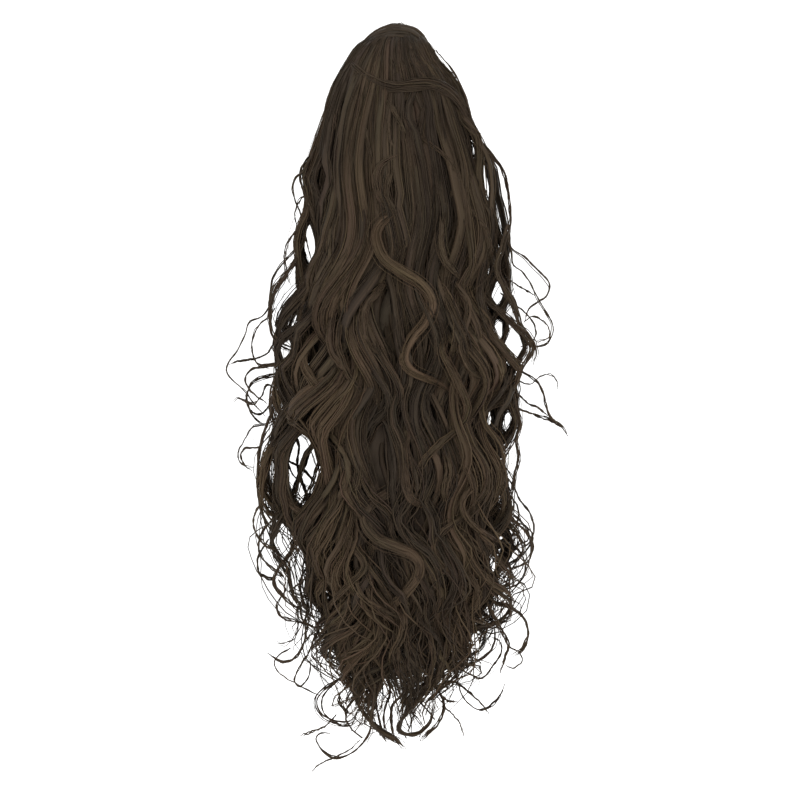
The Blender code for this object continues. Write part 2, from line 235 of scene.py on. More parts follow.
def strand_material(name, dark, light, roughness):
    """Synthetic hair: fine streaks along each strand, its own tone, slow changes of colour, and painted
    shade round the middle of the front.
    """
    material, tree, shader = new_material(name, 0.13)
    shader.inputs["Specular Tint"].default_value = (0.95, 0.78, 0.6, 1.0)
    tone = Wire.node(tree, "ShaderNodeAttribute", {"attribute_name": "tone"}, {}, "Fac")
    strand = Wire.node(tree, "ShaderNodeUVMap", {"uv_map": "along_strand"}, {})
    place = Wire.node(tree, "ShaderNodeTexCoord", {}, {}, "Object")

    # Streaks along the strand, patches over the hair, how far down it is, and how far into the painted
    # shade round the middle of the front
    own = {"noise_dimensions": "4D"}
    sockets = {"Vector": strand, "Scale": STREAK_STRETCH}
    fine = Wire.node(tree, "ShaderNodeMapping", {}, sockets)
    sockets = {"Vector": fine, "W": 40.0 * tone, "Scale": 1.0, "Detail": 4.0, "Roughness": 0.6}
    streaks = Wire.node(tree, "ShaderNodeTexNoise", own, sockets)
    sockets = {"Vector": place, "Scale": 22.0, "Detail": 2.0}
    patches = Wire.node(tree, "ShaderNodeTexNoise", {}, sockets)
    height = Wire.node(tree, "ShaderNodeSeparateXYZ", {}, {"Vector": place}, "Z")
    sockets = {"Value": height, "From Min": STREAKS_FROM, "From Max": STREAKS_FULL}
    low_down = Wire.node(tree, "ShaderNodeMapRange", {}, sockets)
    sockets = {
        "Vector": place,
        "Location": [-centre / radius for centre, radius in zip(PAINTED_SHADE_MIDDLE, PAINTED_SHADE_RADII)],
        "Scale": [1 / radius for radius in PAINTED_SHADE_RADII],
    }
    from_middle = Wire.node(tree, "ShaderNodeMapping", {}, sockets)
    length = {"operation": "LENGTH"}
    away = Wire.node(tree, "ShaderNodeVectorMath", length, {0: from_middle}, "Value")
    eased = {"interpolation_type": "SMOOTHSTEP"}
    sockets = {"Value": away, "From Min": 1.0, "From Max": 0.3}
    in_painted_shade = Wire.node(tree, "ShaderNodeMapRange", eased, sockets)

    # The colour runs from dark to light, and some locks are redder and some more golden
    strength = 0.45 + 0.5 * low_down
    # 0.09 * low_down is painted shade: it paints the crown a little darker than the hair lower down
    share = strength * (1.1 * tone + 2.2 * streaks - 1.50) + 0.4 * patches + 0.09 * low_down + 0.03
    # Painted shade: the colour is darkened round the middle of the front
    share = share - 0.24 * in_painted_shade
    tones = [(0.0, (*dark, 1.0)), (1.0, (*light, 1.0))]
    colour = Wire.node(tree, "ShaderNodeValToRGB", {"stops": tones}, {"Fac": share})
    sockets = {"Vector": place, "W": 12.0 * tone, "Scale": 14.0, "Detail": 1.0}
    tint = Wire.node(tree, "ShaderNodeTexNoise", own, sockets)
    sockets = {"Hue": 0.455 + 0.08 * tint, "Color": colour}
    colour = Wire.node(tree, "ShaderNodeHueSaturation", {}, sockets)
    tree.links.new(colour.socket, shader.inputs["Base Color"])
    tree.links.new((roughness - 0.1 + 0.2 * streaks).socket, shader.inputs["Roughness"])
    sockets = {"Height": streaks, "Strength": 0.4, "Distance": 0.0004}
    bump = Wire.node(tree, "ShaderNodeBump", {}, sockets)
    tree.links.new(bump.socket, shader.inputs["Normal"])
    return material


def from_photo(across, down):
    """Metres from a place in the photograph, in its pixels."""
    return (across - ORIGIN_PIXEL.x) * PIXEL, (ORIGIN_PIXEL.y - down) * PIXEL


PIXEL = 0.0008
ORIGIN_PIXEL = Vector((393.0, 100.0))

# Dark hollows and openings between the locks, in the photograph's pixels. A deep one goes right
# through the hair, and any other only parts the locks on the front.
HOLLOWS = (
    # across, down, half width, half height, deep
    (416, 116, 6, 14, False),
    (392, 194, 4, 13, False),
    (386, 315, 8, 32, False),
    (380, 455, 10, 34, False),
    (417, 521, 9, 18, False),
    (398, 566, 7, 20, False),
    (474, 157, 3, 22, True),
    (485, 182, 4, 24, True),
    (322, 181, 6, 14, False),
    (304, 468, 17, 36, True),
    (273, 472, 4, 22, True),
    (288, 348, 6, 12, True),
    (498, 293, 5, 16, True),
    (499, 330, 6, 13, True),
    (513, 344, 7, 15, True),
    (492, 420, 4, 12, True),
    (506, 422, 4, 12, True),
    (481, 560, 4, 10, True),
    (492, 566, 5, 13, True),
    (300, 572, 8, 26, True),
    (424, 638, 8, 12, True),
    (424, 677, 5, 8, True),
    (349, 641, 4, 7, True),
    (386, 708, 9, 28, True),
    (309, 242, 6, 22, True),
    (285, 541, 6, 18, True),
    (311, 614, 6, 15, True),
    (497, 607, 6, 14, True),
    (474, 642, 5, 13, True),
)


UNDER_TOP = CROWN_TOP - 0.004
UNDER_END = TIPS + 0.072
UNDER_SIDES = 150
UNDER_RINGS = 76
CLIP_RADIUS = 0.020
CLIP_AXIS_Y = clip_high.y - CLIP_RADIUS
CLIP_SPINE_TOP = 0.019


def clip_face(z):
    """The y of the clip's front, with a little room: tabs and spine stand out near its middle."""
    tabs = clip_low.y - 0.003
    jaws = CLIP_AXIS_Y - 0.023
    beyond_spine = smooth(CLIP_SPINE_TOP + 0.003, CLIP_SPINE_TOP + 0.024, np.abs(z))
    return tabs + (jaws - tabs) * beyond_spine


def under_place(angle, z, share):
    """A point on the under hair, which is folded in behind to leave the clip's own space open."""
    x, y = on_outline(z, angle, share)
    beside = 1 - smooth(clip_high.z, clip_high.z + 0.012, abs(z))
    across = math.cos(angle)
    if math.sin(angle) > 0 and abs(across) < 0.7 and beside > 0:
        wall = clip_high.x + 0.002
        down_wall = smooth(0.7, 0.5, abs(across))
        over_face = min(1.0, abs(across) / 0.5)
        inner_y = y + (clip_face(z) - y) * down_wall
        x += (math.copysign(wall * over_face, across) - x) * beside
        y += (inner_y - y) * beside
    return x, y


def under_hair():
    """A tube pulled to the inside of the outline, with ridges that wave down it like locks."""
    shape = bmesh.new()
    bmesh.ops.create_cone(shape, cap_ends=True, segments=UNDER_SIDES, radius1=1, radius2=1, depth=1)
    upright = [e for e in shape.edges if abs(e.verts[0].co.z - e.verts[1].co.z) > 0.5]
    bmesh.ops.subdivide_edges(shape, edges=upright, cuts=UNDER_RINGS, use_grid_fill=True)
    uv = shape.loops.layers.uv.new("along_strand")
    for face in shape.faces:
        face.smooth = True
        turns = [math.atan2(loop.vert.co.y, loop.vert.co.x) / (2 * math.pi) for loop in face.loops]
        seam = max(turns) - min(turns) > 0.5 and len(turns) == 4
        for loop, turn in zip(face.loops, turns):
            loop[uv].uv = (30 * (turn + 1 if seam and turn < 0 else turn), loop.vert.co.z + 0.5)
    deep_hollows = []
    for across, down, half_width, half_height, deep in HOLLOWS:
        if deep:
            size = (half_width * PIXEL + 0.003, half_height * PIXEL * 1.5)
            deep_hollows.append((*from_photo(across, down), *size))
    for vert in shape.verts:
        z = UNDER_END + (vert.co.z + 0.5) * (UNDER_TOP - UNDER_END)
        down = (HEM - z) / FALL
        wave = 0.16 * smooth(0.05, 0.3, down) * math.sin(down * 24.0)
        angle = math.atan2(vert.co.y, vert.co.x)
        ridge = math.sin(22 * (angle + wave)) + 0.6 * math.sin(37 * (angle - 0.7 * wave) + 9 * down)
        share = 0.78 - 0.06 * smooth(0.1, 0.4, down) - 0.5 * smooth(0.74, 0.90, down) + 0.022 * ridge
        rounding = smooth(UNDER_TOP - 0.040, UNDER_TOP, z)
        share *= math.sqrt(max(1 - rounding**2, 0.001))
        x, y = under_place(angle, z, share)
        for centre_x, centre_z, half_width, half_height in deep_hollows:
            edge = half_width * max(1 - ((z - centre_z) / half_height) ** 2, 0)
            if edge > 0 and abs(centre_x) > 0.05:
                inner = abs(centre_x) - edge
                x = math.copysign(min(abs(x), inner), x) if x * centre_x > 0 else x
        vert.co = (x, y, z)
    mesh = bpy.data.meshes.new("under_hair")
    shape.to_mesh(mesh)
    shape.free()
    piece = bpy.data.objects.new("under_hair", mesh)
    bpy.context.scene.collection.objects.link(piece)
    return piece


def wear(piece, material, slot, *nodes):
    """Gives a finished piece its material, parents it to the root body and hides the parts that it
    stands in for.
    """
    piece.data.materials.append(material)
    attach(piece, "root")
    if nodes:
        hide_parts(*nodes)


# Colours of the fibre: the under hair's dark and light ends, painted lighter as painted light
# in the shaded gaps between the locks, then the locks'
UNDER_DARK = (0.046, 0.0350, 0.0255)
UNDER_LIGHT = (0.056, 0.0415, 0.0290)
DARK_HAIR = (0.0207, 0.0159, 0.0118)
LIGHT_HAIR = (0.0590, 0.0410, 0.0238)
under_material = strand_material("under_strands", UNDER_DARK, UNDER_LIGHT, 0.6)
wear(under_hair(), under_material, "fall_strands", "crown_hair", "fall_hair")

# The long locks: curly synthetic fibre in 126 locks, sewn in three rows round the clip. Each lock
# is a few flat bundles with loose threads on them. It runs smooth over the dome, starts to wave
# below the clip, and its bundles part and curl at their tips.

RINGS = 60
rng = np.random.default_rng(24)

# Cross sections, counted round from the middle of the outer side: places across and over, as
# shares of the half width and of the thickness. A ribbon is many strands that lie together.
THREAD = ((0.0, 1.0), (-0.87, -0.5), (0.87, -0.5))
RIBBON = ((0.0, 0.55), (-0.52, 1.0), (-1.0, -0.1), (0.0, -0.4), (1.0, -0.1), (0.52, 1.0))


def strand_template(rings, sides):
    """A closed tube of this many rings and sides, with its UV map."""
    shape = bmesh.new()
    bmesh.ops.create_cone(shape, cap_ends=True, segments=sides, radius1=1, radius2=1, depth=1)
    upright = [e for e in shape.edges if abs(e.verts[0].co.z - e.verts[1].co.z) > 0.5]
    bmesh.ops.subdivide_edges(shape, edges=upright, cuts=rings - 2, use_grid_fill=True)
    uv = shape.loops.layers.uv.new("along_strand")
    for face in shape.faces:
        face.smooth = True
        corners = [corner_of(loop.vert.co, sides) for loop in face.loops]
        around = len(corners) == 4 and sides - 1 in corners
        for loop, corner in zip(face.loops, corners):
            wrapped = sides if corner == 0 and around else corner
            loop[uv].uv = (wrapped / sides, loop.vert.co.z + 0.5)
    mesh = bpy.data.meshes.new("strand")
    shape.to_mesh(mesh)
    shape.free()
    return mesh


def corner_of(place, sides):
    """Which of the tube's long edges a vertex of the template lies on."""
    return int(round((math.atan2(place.y, place.x) - math.pi / 2) * sides / (2 * math.pi))) % sides


def sideways_along(paths, outward):
    """Steady sideways and outward directions along each path, which keep its flat side out."""
    tangent = np.gradient(paths, axis=1)
    tangent /= np.linalg.norm(tangent, axis=2, keepdims=True) + 1e-12
    wanted = np.cross(tangent, outward)
    wanted /= np.linalg.norm(wanted, axis=2, keepdims=True) + 1e-9
    side = np.empty_like(paths)
    side[:, 0] = wanted[:, 0]
    for ring in range(1, paths.shape[1]):
        target = wanted[:, ring]
        target = target * np.sign((target * side[:, ring - 1]).sum(1, keepdims=True) + 1e-9)
        mixed = 0.75 * side[:, ring - 1] + 0.25 * target
        along = tangent[:, ring]
        mixed = mixed - along * (mixed * along).sum(1, keepdims=True)
        side[:, ring] = mixed / (np.linalg.norm(mixed, axis=1, keepdims=True) + 1e-9)
    return side, np.cross(side, tangent)


def tubes(paths, half_widths, tones, section):
    """One mesh of closed tubes, wider than they are thick, swept along these paths.

    paths is an array of strands by rings by 3, half_widths is of strands by rings, and tones
    holds one number for each strand. Wide tubes are flattest near their roots.
    """
    count, rings, _ = paths.shape
    sides = len(section)
    template = strand_template(rings, sides)
    places = np.empty(len(template.vertices) * 3)
    template.vertices.foreach_get("co", places)
    places = places.reshape(-1, 3)
    ring = np.round((places[:, 2] + 0.5) * (rings - 1)).astype(int)
    corner = np.array([corner_of(Vector(place), sides) for place in places])
    helper = bpy.data.objects.new("helper", template)
    bpy.context.scene.collection.objects.link(helper)
    copies = helper.modifiers.new("copies", "ARRAY")
    copies.count = count
    copies.use_relative_offset = False
    graph = bpy.context.evaluated_depsgraph_get()
    mesh = bpy.data.meshes.new_from_object(helper.evaluated_get(graph))
    bpy.data.objects.remove(helper, do_unlink=True)
    side, up = sideways_along(paths, outward_from(paths))
    roll = ripples(count, rings, ROLL, (2, 5))[:, :, None]
    side, up = side * np.cos(roll) + up * np.sin(roll), up * np.cos(roll) - side * np.sin(roll)
    own = np.array(section) * rng.uniform(0.78, 1.22, (count, sides, 2))
    wide = half_widths[:, ring]
    flat = 0.5 + 0.5 * smooth(0.05, 0.35, ring / (rings - 1))
    thick = np.minimum(wide, THINNEST + THICKNESS * wide * flat)
    across = (wide * own[:, corner, 0])[:, :, None]
    over = (thick * own[:, corner, 1])[:, :, None]
    placed = paths[:, ring] + side[:, ring] * across + up[:, ring] * over
    mesh.vertices.foreach_set("co", placed.astype(np.float32).ravel())
    tone = mesh.attributes.new("tone", "FLOAT", "POINT")
    tone.data.foreach_set("value", np.repeat(tones, len(places)).astype(np.float32))
    return mesh


def hair(name, *groups):
    """A piece of hair from groups of tubes, each given as tubes() takes it."""
    shape = bmesh.new()
    for group in groups:
        part = tubes(*group)
        shape.from_mesh(part)
        bpy.data.meshes.remove(part)
    mesh = bpy.data.meshes.new(name)
    shape.to_mesh(mesh)
    shape.free()
    piece = bpy.data.objects.new(name, mesh)
    bpy.context.scene.collection.objects.link(piece)
    return piece


def outward_from(paths):
    """The direction out of the hair's middle, level, at each point of these paths."""
    middle_x, middle_y, half_width, half_depth = outline_at(paths[:, :, 2])
    outward = np.zeros_like(paths)
    outward[:, :, 0] = (paths[:, :, 0] - middle_x) / half_width**2
    outward[:, :, 1] = (paths[:, :, 1] - middle_y) / half_depth**2
    outward /= np.linalg.norm(outward, axis=2, keepdims=True) + 1e-9
    outward[:, :, 2] = 1.5 * smooth(CROWN_TOP - 0.035, CROWN_TOP, paths[:, :, 2])
    return outward


def tapered(widths, rings, tip_from=0.80, tip=0.22, root=0.4, narrow=0.0):
    """Half widths along strands that are full from just below the root and thin to their tips.

    narrow is how much of the width is lost on the way down to the last third.
    """
    share = np.linspace(0.0, 1.0, rings)[None, :]
    thin = 1 - (1 - tip) * smooth(tip_from, 1.0, share) ** 1.3
    thin = thin * (1 - narrow * smooth(0.30, 0.68, share))
    uneven = 1 + ripples(len(widths), rings, UNEVENNESS, (3, 7))
    return widths[:, None] * (root + (1 - root) * smooth(0.0, 0.06, share)) * thin * uneven


def ripples(count, rings, size, lengths):
    """Small smooth wanderings of size, one row for each strand, with these numbers of waves."""
    share = np.linspace(0.0, 1.0, rings)[None, :]
    total = np.zeros((count, rings))
    for waves in lengths:
        own = waves * rng.uniform(0.8, 1.2, (count, 1))
        total += np.sin(2 * math.pi * (own * share + rng.random((count, 1))))
    return size * total / math.sqrt(len(lengths))


def strands_along(lines, each, radius, width, loosen, rings, strays=0.10, lift=0.0, narrow=0.0):
    """Strands in a bundle along each line: their paths, half widths, and which line each is on.

    lines is an array of bundles by points by 3. each, radius and width are a number or an array,
    one for each bundle, and loosen gives the bundle's opening at a share of the length. strays
    is the share of strands that leave their bundle. lift moves them out of the hair, so that
    they lie on what else follows the line. narrow is as tapered() takes it.
    """
    bundles, points, _ = lines.shape
    own = np.repeat(np.arange(bundles), each)
    total = len(own)
    radius = np.broadcast_to(radius, bundles)[own]
    width = np.broadcast_to(width, bundles)[own]
    stray = rng.random(total) < strays
    place = np.where(stray, 1.7, np.sqrt(rng.uniform(0.25 if strays else 0.0, 1.0, total)))
    length = 1 - 0.07 * rng.random(total) ** 2
    share = np.linspace(0.0, 1.0, rings)[None, :]
    at = np.interp(share, STEPS, PLACES) * length[:, None] * (points - 1)
    low = np.minimum(at.astype(int), points - 2)
    part = (at - low)[:, :, None]

    def sampled(field):
        return field[own[:, None], low] * (1 - part) + field[own[:, None], low + 1] * part

    side, up = sideways_along(lines, outward_from(lines))
    turn = rng.uniform(0, 2 * math.pi, (total, 1))
    turn = turn + rng.choice((-2.0, 2.0), bundles)[own][:, None] * share
    spread = (radius * place)[:, None] * loosen(share)
    aside = spread * np.cos(turn) + ripples(total, rings, 0.0003, (4, 9))
    outside = lift + 0.4 * spread * np.sin(turn) + ripples(total, rings, 0.0003, (4, 9))
    paths = sampled(lines) + sampled(side) * aside[:, :, None] + sampled(up) * outside[:, :, None]
    relative = rng.choice((0.6, 1.0, 1.3) if strays else (0.8, 1.0, 1.2), total)
    return paths, tapered(width * np.where(stray, 0.5, relative), rings, narrow=narrow), own


# Where along a line the rings lie: closer together over the dome and in the curled ends
STEPS = (0.0, 0.10, 0.25, 0.60, 1.0)
PLACES = (0.0, 0.055, 0.22, 0.60, 1.0)
LINE_POINTS = 220
THINNEST = 0.00030
THICKNESS = 0.24
ROLL = 0.22
UNEVENNESS = 0.12
WAVES_FROM = 0.030
WAVES_FULL = 0.160


def fall_of_waves(root, tip, swing, pitch, phase, lag, curl):
    """Waves by the angle at which a line leans, like a river's bends, so that they stay round.

    Returns each point's height, its sideways and its depthwise offset. swing is the largest lean
    in radians, pitch a wave's length, lag how far the depthwise wave trails, and curl how much
    more the tip leans than the rest. phase is given at every point.
    """
    share = np.linspace(0.0, 1.0, LINE_POINTS)[None, :]
    drop = (root - tip)[:, None]
    height = root[:, None] - drop * share
    begins = smooth(WAVES_FROM, WAVES_FULL, -height)
    shorter = pitch[:, None] * (1 - 0.34 * smooth(0.55, 1.0, share))

    def along(values):
        total = np.zeros_like(values)
        total[:, 1:] = np.cumsum((values[:, 1:] + values[:, :-1]) / 2, axis=1) / (LINE_POINTS - 1)
        return total

    turned = along(2 * math.pi * drop / shorter)
    lean = swing[:, None] * (0.07 + 0.93 * begins) * (1 + curl[:, None] * smooth(0.66, 0.97, share))
    across = lean * np.cos(turned + phase)
    depth = 0.6 * lean * np.cos(turned + phase + lag[:, None])
    fallen = along(np.cos(across) * np.cos(depth))
    scale = drop / fallen[:, -1:]
    z = root[:, None] - fallen * scale
    return z, along(np.sin(across) * np.cos(depth)) * scale, along(np.sin(depth)) * scale


# The waves: how far a lock leans in radians at most, a wave's length, how much more the tips
# lean than the rest, and the most that they lean
SWING = 0.58
WAVE_PITCH = 0.104
TIP_CURLS = (0.1, 0.5, 1.0)
MOST_LEAN = 1.45

# The tone of the locks, from 0 for dark to 1 for light, and how much it differs between families
# of neighbouring locks and between the locks in one
TONE = 0.44
TONE_OF_FAMILY = 0.22
TONE_OF_LOCK = 0.14
LOCKS_IN_FAMILY = 2.7

# How far down the locks reach, as a share of the fall, from the left edge to the right one
REACH_ACROSS = (-1.0, -0.65, -0.3, 0.0, 0.3, 0.65, 1.0)
REACH_DOWN = (0.80, 0.90, 0.92, 0.88, 0.92, 0.90, 0.81)


def wave_phase(angle):
    """The phase at which the locks at this angle start, so that neighbours wave together."""
    return 1.5 * np.sin(2 * angle + 0.6) + 0.9 * np.sin(5 * angle + 2.0) + 0.5 * np.sin(9 * angle + 1.0)


def lock_lines(locks, share_out, bundles, lock_radius):
    """The line of every bundle in a layer of locks, and its tone."""
    angles = 2 * math.pi * (np.arange(locks) + rng.uniform(-0.3, 0.3, locks)) / locks
    angles = angles + 0.18 * np.sin(2 * angles)
    ends = np.interp(np.cos(angles), REACH_ACROSS, REACH_DOWN) + rng.normal(0, 0.03, locks)
    family = (np.arange(locks) / LOCKS_IN_FAMILY).astype(int)
    families = family[-1] + 1
    drift = rng.uniform(-0.11, 0.11, families)[family] + rng.uniform(-0.03, 0.03, locks)
    phase = wave_phase(angles) + rng.normal(0, 0.35, locks)
    swing = SWING + 0.16 * np.sin(3 * angles + 2.2) + rng.normal(0, 0.09, locks)
    pitch = (WAVE_PITCH + 0.009 * np.sin(3 * angles + 1.0)) * rng.uniform(0.98, 1.02, locks)
    lag = 1.5 * np.sign(np.sin(2 * angles + 0.5)) * rng.uniform(0.7, 1.3, locks)
    tone = rng.normal(TONE, TONE_OF_FAMILY, families)[family] + rng.normal(0, TONE_OF_LOCK, locks)
    tone = np.clip(tone, 0.05, 1.05)
    root = CROWN_TOP - rng.uniform(0.002, 0.007, locks) / share_out
    weave = rng.uniform(0, 2 * math.pi, locks)

    # Each bundle has its own place in its lock, and its curled end goes its own way
    own = np.repeat(np.arange(locks), bundles)
    total = len(own)
    bearing = rng.uniform(0, 2 * math.pi, (total, 1))
    away = lock_radius * rng.uniform(0.3, 1.0, (total, 1))
    parting = rng.normal(0, 0.5, (total, 1))
    curl = rng.choice(TIP_CURLS, total) * rng.uniform(0.7, 1.2, total)
    curl = np.minimum(curl, MOST_LEAN / swing[own] - 1)
    tip = HEM - np.minimum(ends[own] + rng.normal(0, 0.03, total), 0.97) * FALL
    pitches = pitch[own] * rng.normal(1.0, 0.015, total)
    share = np.linspace(0.0, 1.0, LINE_POINTS)[None, :]
    phases = phase[own][:, None] + parting * smooth(0.40, 1.0, share)
    starts = root[own] + rng.normal(0, 0.002, total)
    z, sway, dip = fall_of_waves(starts, tip, swing[own], pitches, phases, lag[own], curl)

    turn = bearing + 1.5 * share * np.sign(lag[own])[:, None]
    out = away * (0.15 + 0.6 * smooth(0.0, 0.055, CROWN_TOP - z) + 0.25 * smooth(0.05, 0.3, share))
    angle = angles[own][:, None] + drift[own][:, None] * np.sin(3.0 * share + phase[own][:, None])
    weaving = 0.055 * np.sin(2 * math.pi * z / 0.21 + weave[own][:, None])
    tucked = 0.70 + 0.30 * smooth(0.0, 0.020, CROWN_TOP - z)
    x, y = on_outline(z, angle, share_out * tucked * (1 + weaving))
    facing = np.where(np.sin(angle) > 0, -1, 1)
    sideways = out * np.cos(turn)
    inward = 0.45 * out * np.sin(turn)
    x = x - sideways * np.sin(angle) + inward * np.cos(angle) + sway * facing
    y = y + sideways * np.cos(angle) + inward * np.sin(angle) + dip
    wander = 0.3 + 0.7 * smooth(0.15, 1.0, share)
    x = x + wander * ripples(total, LINE_POINTS, 0.0010, (7, 13))
    y = y + wander * ripples(total, LINE_POINTS, 0.0010, (6, 12))
    tones = np.clip(tone[own] + rng.normal(0, 0.05, total), 0, 1)
    return np.stack([x, y, z], axis=2), tones


def shifted(x, edge, within, reach=2.2):
    """How far to move x away from zero to clear edge, each strand towards its own side."""
    near = (edge > 0) * within
    side = np.where((x * near).sum(1, keepdims=True) < 0, -1.0, 1.0)
    signed = x * side
    open_here = np.clip(4 * edge / (edge.max() + 1e-9), 0, 1)
    shift = np.where(signed < 0, edge - signed * open_here, edge - signed / reach)
    return side * np.where(signed < reach * edge, np.maximum(shift, 0), 0) * within


def part_hair(paths, surface):
    """Opens the hollows. surface says how far the shallow ones part this layer, from 0 to 1."""
    x, y, z = (paths[:, :, axis] for axis in range(3))
    for across, down, half_width, half_height, deep in HOLLOWS:
        centre_x, centre_z = from_photo(across, down)
        level = 1 - ((z - centre_z) / (half_height * PIXEL * 1.25)) ** 2
        edge = (half_width * PIXEL + 0.0015) * np.clip(level, 0, 1) ** 0.9
        within = np.ones_like(edge) if deep else surface * smooth(-0.012, -0.032, y)
        x += shifted(x - centre_x, edge, within)
    return paths


def clear_clip(paths, ahead):
    """Keeps the hair out of the clip and its mouth, and this far ahead of its front."""
    x, y, z = (paths[:, :, axis] for axis in range(3))
    beside = 1 - smooth(clip_high.z, clip_high.z + 0.014, np.abs(z))
    depth = (y * beside).sum(1, keepdims=True) / (beside.sum(1, keepdims=True) + 1e-6)
    at_front = depth < CLIP_AXIS_Y - 0.018
    room = clip_high.x + 0.006
    face = clip_face(z) - ahead - 0.001 * rng.random((len(paths), 1))
    near = 1 - smooth(room - 0.002, room + 0.014, np.abs(x))
    y -= np.where(at_front, np.maximum(y - face, 0) * near * beside, 0)
    behind = smooth(clip_face(z) - 0.006, clip_face(z) + 0.004, y) * ~at_front
    x += shifted(x, room * beside, behind, 1.2)
    return paths


LAYERS = (
    # locks, share of the outline, bundles in a lock, threads in a bundle, the radius of a lock and
    # of a bundle, a ribbon's half width, how far the shallow hollows part them, how far they keep
    # ahead of the clip, and how much is added to their tone: painted shade, darker for the deeper
    # layers and a little lighter for the outer one
    (56, 0.935, 3, 4, 0.0046, 0.0042, 0.0029, 1.0, 0.0060, 0.03),
    (42, 0.850, 2, 2, 0.0052, 0.0046, 0.0040, 0.6, 0.0040, -0.05),
    (28, 0.740, 2, 1, 0.0062, 0.0054, 0.0050, 0.3, 0.0025, -0.10),
)
THREAD_HALF = 0.00055
DARKEST_RIBBON = 0.17

# Short threads lie on the outer locks from their roots to this far down their lines, in points
UPPER_TO = 112
UPPER_RINGS = 26
UPPER_RADIUS = 0.0050

# Loose ends leave the same locks from this far down, and curl round into open loops
END_FROM = 96
END_RINGS = 38
END_RADIUS = 0.0056
END_WANDER = 0.0028
LOOP_RADII = (0.004, 0.011)


def lock_opening(share):
    """A bundle is gathered at its root, open over most of its length, and pointed at its tip."""
    return 0.45 + 0.55 * smooth(0.04, 0.28, share) - 0.65 * smooth(0.60, 1.0, share)


def upper_opening(share):
    """The short threads open out from their roots and close again where they end."""
    return 0.35 + 0.65 * smooth(0.05, 0.5, share) - 0.5 * smooth(0.8, 1.0, share)


def end_opening(share):
    """The loose ends part from the bundle that they start in."""
    return 0.6 + 1.2 * smooth(0.1, 0.9, share)


def curled_round(paths):
    """Loose ends that wander, and then turn round in a loop of their own, to either side."""
    gone = np.linspace(0.0, 1.0, END_RINGS)[None, :]
    for axis in (0, 2):
        wander = ripples(len(paths), END_RINGS, END_WANDER, (3, 5))
        paths[:, :, axis] += wander * smooth(0.1, 0.7, gone)
    loop = rng.uniform(*LOOP_RADII, (len(paths), 1)) * rng.choice((-1, 0.4, 1), (len(paths), 1))
    turned = 2 * math.pi * rng.uniform(0.6, 1.1, (len(paths), 1)) * smooth(0.45, 1.0, gone)
    paths[:, :, 0] += loop * (1 - np.cos(turned))
    paths[:, :, 2] += np.abs(loop) * np.sin(turned)
    return paths


def own_tones(line_tones, own, added, spread, most):
    """Each strand's tone, which varies about its own line's."""
    return np.clip(line_tones[own] + rng.normal(added, spread, len(own)), 0, most)


layers = {"ribbons": [], "threads": [], "ends": [], "tops": []}
for locks, share_out, bundles, each, lock_radius, radius, width, surface, ahead, added in LAYERS:
    lines, line_tones = lock_lines(locks, share_out, bundles, lock_radius)
    # Painted shade: the deeper layers' tones are darkened and the outer layer's lightened a little
    line_tones = line_tones + added
    clear_clip(part_hair(lines, surface), ahead)
    paths, half_widths, own = strands_along(
        lines, 1, 0.0005, width, lock_opening, RINGS, 0, narrow=0.42
    )
    layers["ribbons"].append((paths, half_widths, np.maximum(line_tones - 0.06, DARKEST_RIBBON)))
    paths, half_widths, own = strands_along(
        lines, each, radius, THREAD_HALF, lock_opening, RINGS, lift=0.0008
    )
    tones = own_tones(line_tones, own, 0.05, 0.22, 1.2)
    layers["threads"].append((paths, half_widths, tones))
    if surface == 1.0:
        upper = lines[:, :UPPER_TO]
        paths, half_widths, own = strands_along(
            upper, 2, UPPER_RADIUS, 0.8 * THREAD_HALF, upper_opening, UPPER_RINGS, lift=0.0010
        )
        tones = own_tones(line_tones, own, 0.0, 0.2, 1.0)
        layers["tops"].append((paths, half_widths, tones))
        lower = lines[:, END_FROM:]
        paths, half_widths, own = strands_along(
            lower, 2, END_RADIUS, 1.3 * THREAD_HALF, end_opening, END_RINGS, lift=0.0012
        )
        paths = curled_round(paths)
        tones = own_tones(line_tones, own, 0.0, 0.16, 1.0)
        layers["ends"].append((paths, half_widths, tones))
for kind, parts in layers.items():
    layers[kind] = [np.concatenate(part) for part in zip(*parts)]


def quarter(group, is_left, is_front):
    """The strands of a group whose middles lie on this side."""
    middle = group[0][:, group[0].shape[1] // 2]
    chosen = ((middle[:, 0] < 0) == is_left) & ((middle[:, 1] < -0.026) == is_front)
    return [part[chosen] for part in group]


long_material = strand_material("long_strands", DARK_HAIR, LIGHT_HAIR, 0.55)
for name, is_left, is_front in (
    ("front_left_locks", True, True),
    ("front_right_locks", False, True),
    ("back_left_locks", True, False),
    ("back_right_locks", False, False),
):
    groups = []
    for kind, group in layers.items():
        section = RIBBON if kind == "ribbons" else THREAD
        groups.append((*quarter(group, is_left, is_front), section))
    wear(hair(name, *groups), long_material, "fall_strands", "crown_hair", "fall_hair")

# The crown: short strands that run across over the top of the dome from side to side, where the
# top row of hair is turned over the clip's end. They lie on the outline and tuck in at both ends.

ARC_RINGS = 32
ARCS_BACK = -0.004
ARC_SMOOTHING = np.hanning(9) / np.hanning(9).sum()
OVER_CLIP = 0.005

# The top of the dome is this much higher than the outline's own, round about this x
DOME_LIFT = 0.0012
DOME_X = 0.0025


def dome_height(x, y, share):
    """The height of the dome's surface over x and y, at this share of the outline's size."""
    levels = np.linspace(HEM, CROWN_TOP, 500)
    middle_x, middle_y, half_width, half_depth = outline_at(levels)
    across = np.abs((x[..., None] - middle_x) / half_width) ** SQUARENESS
    along = np.abs((y[..., None] - middle_y) / half_depth) ** SQUARENESS
    inside = across + along <= share[..., None] ** SQUARENESS
    return np.where(inside, levels, HEM).max(-1)


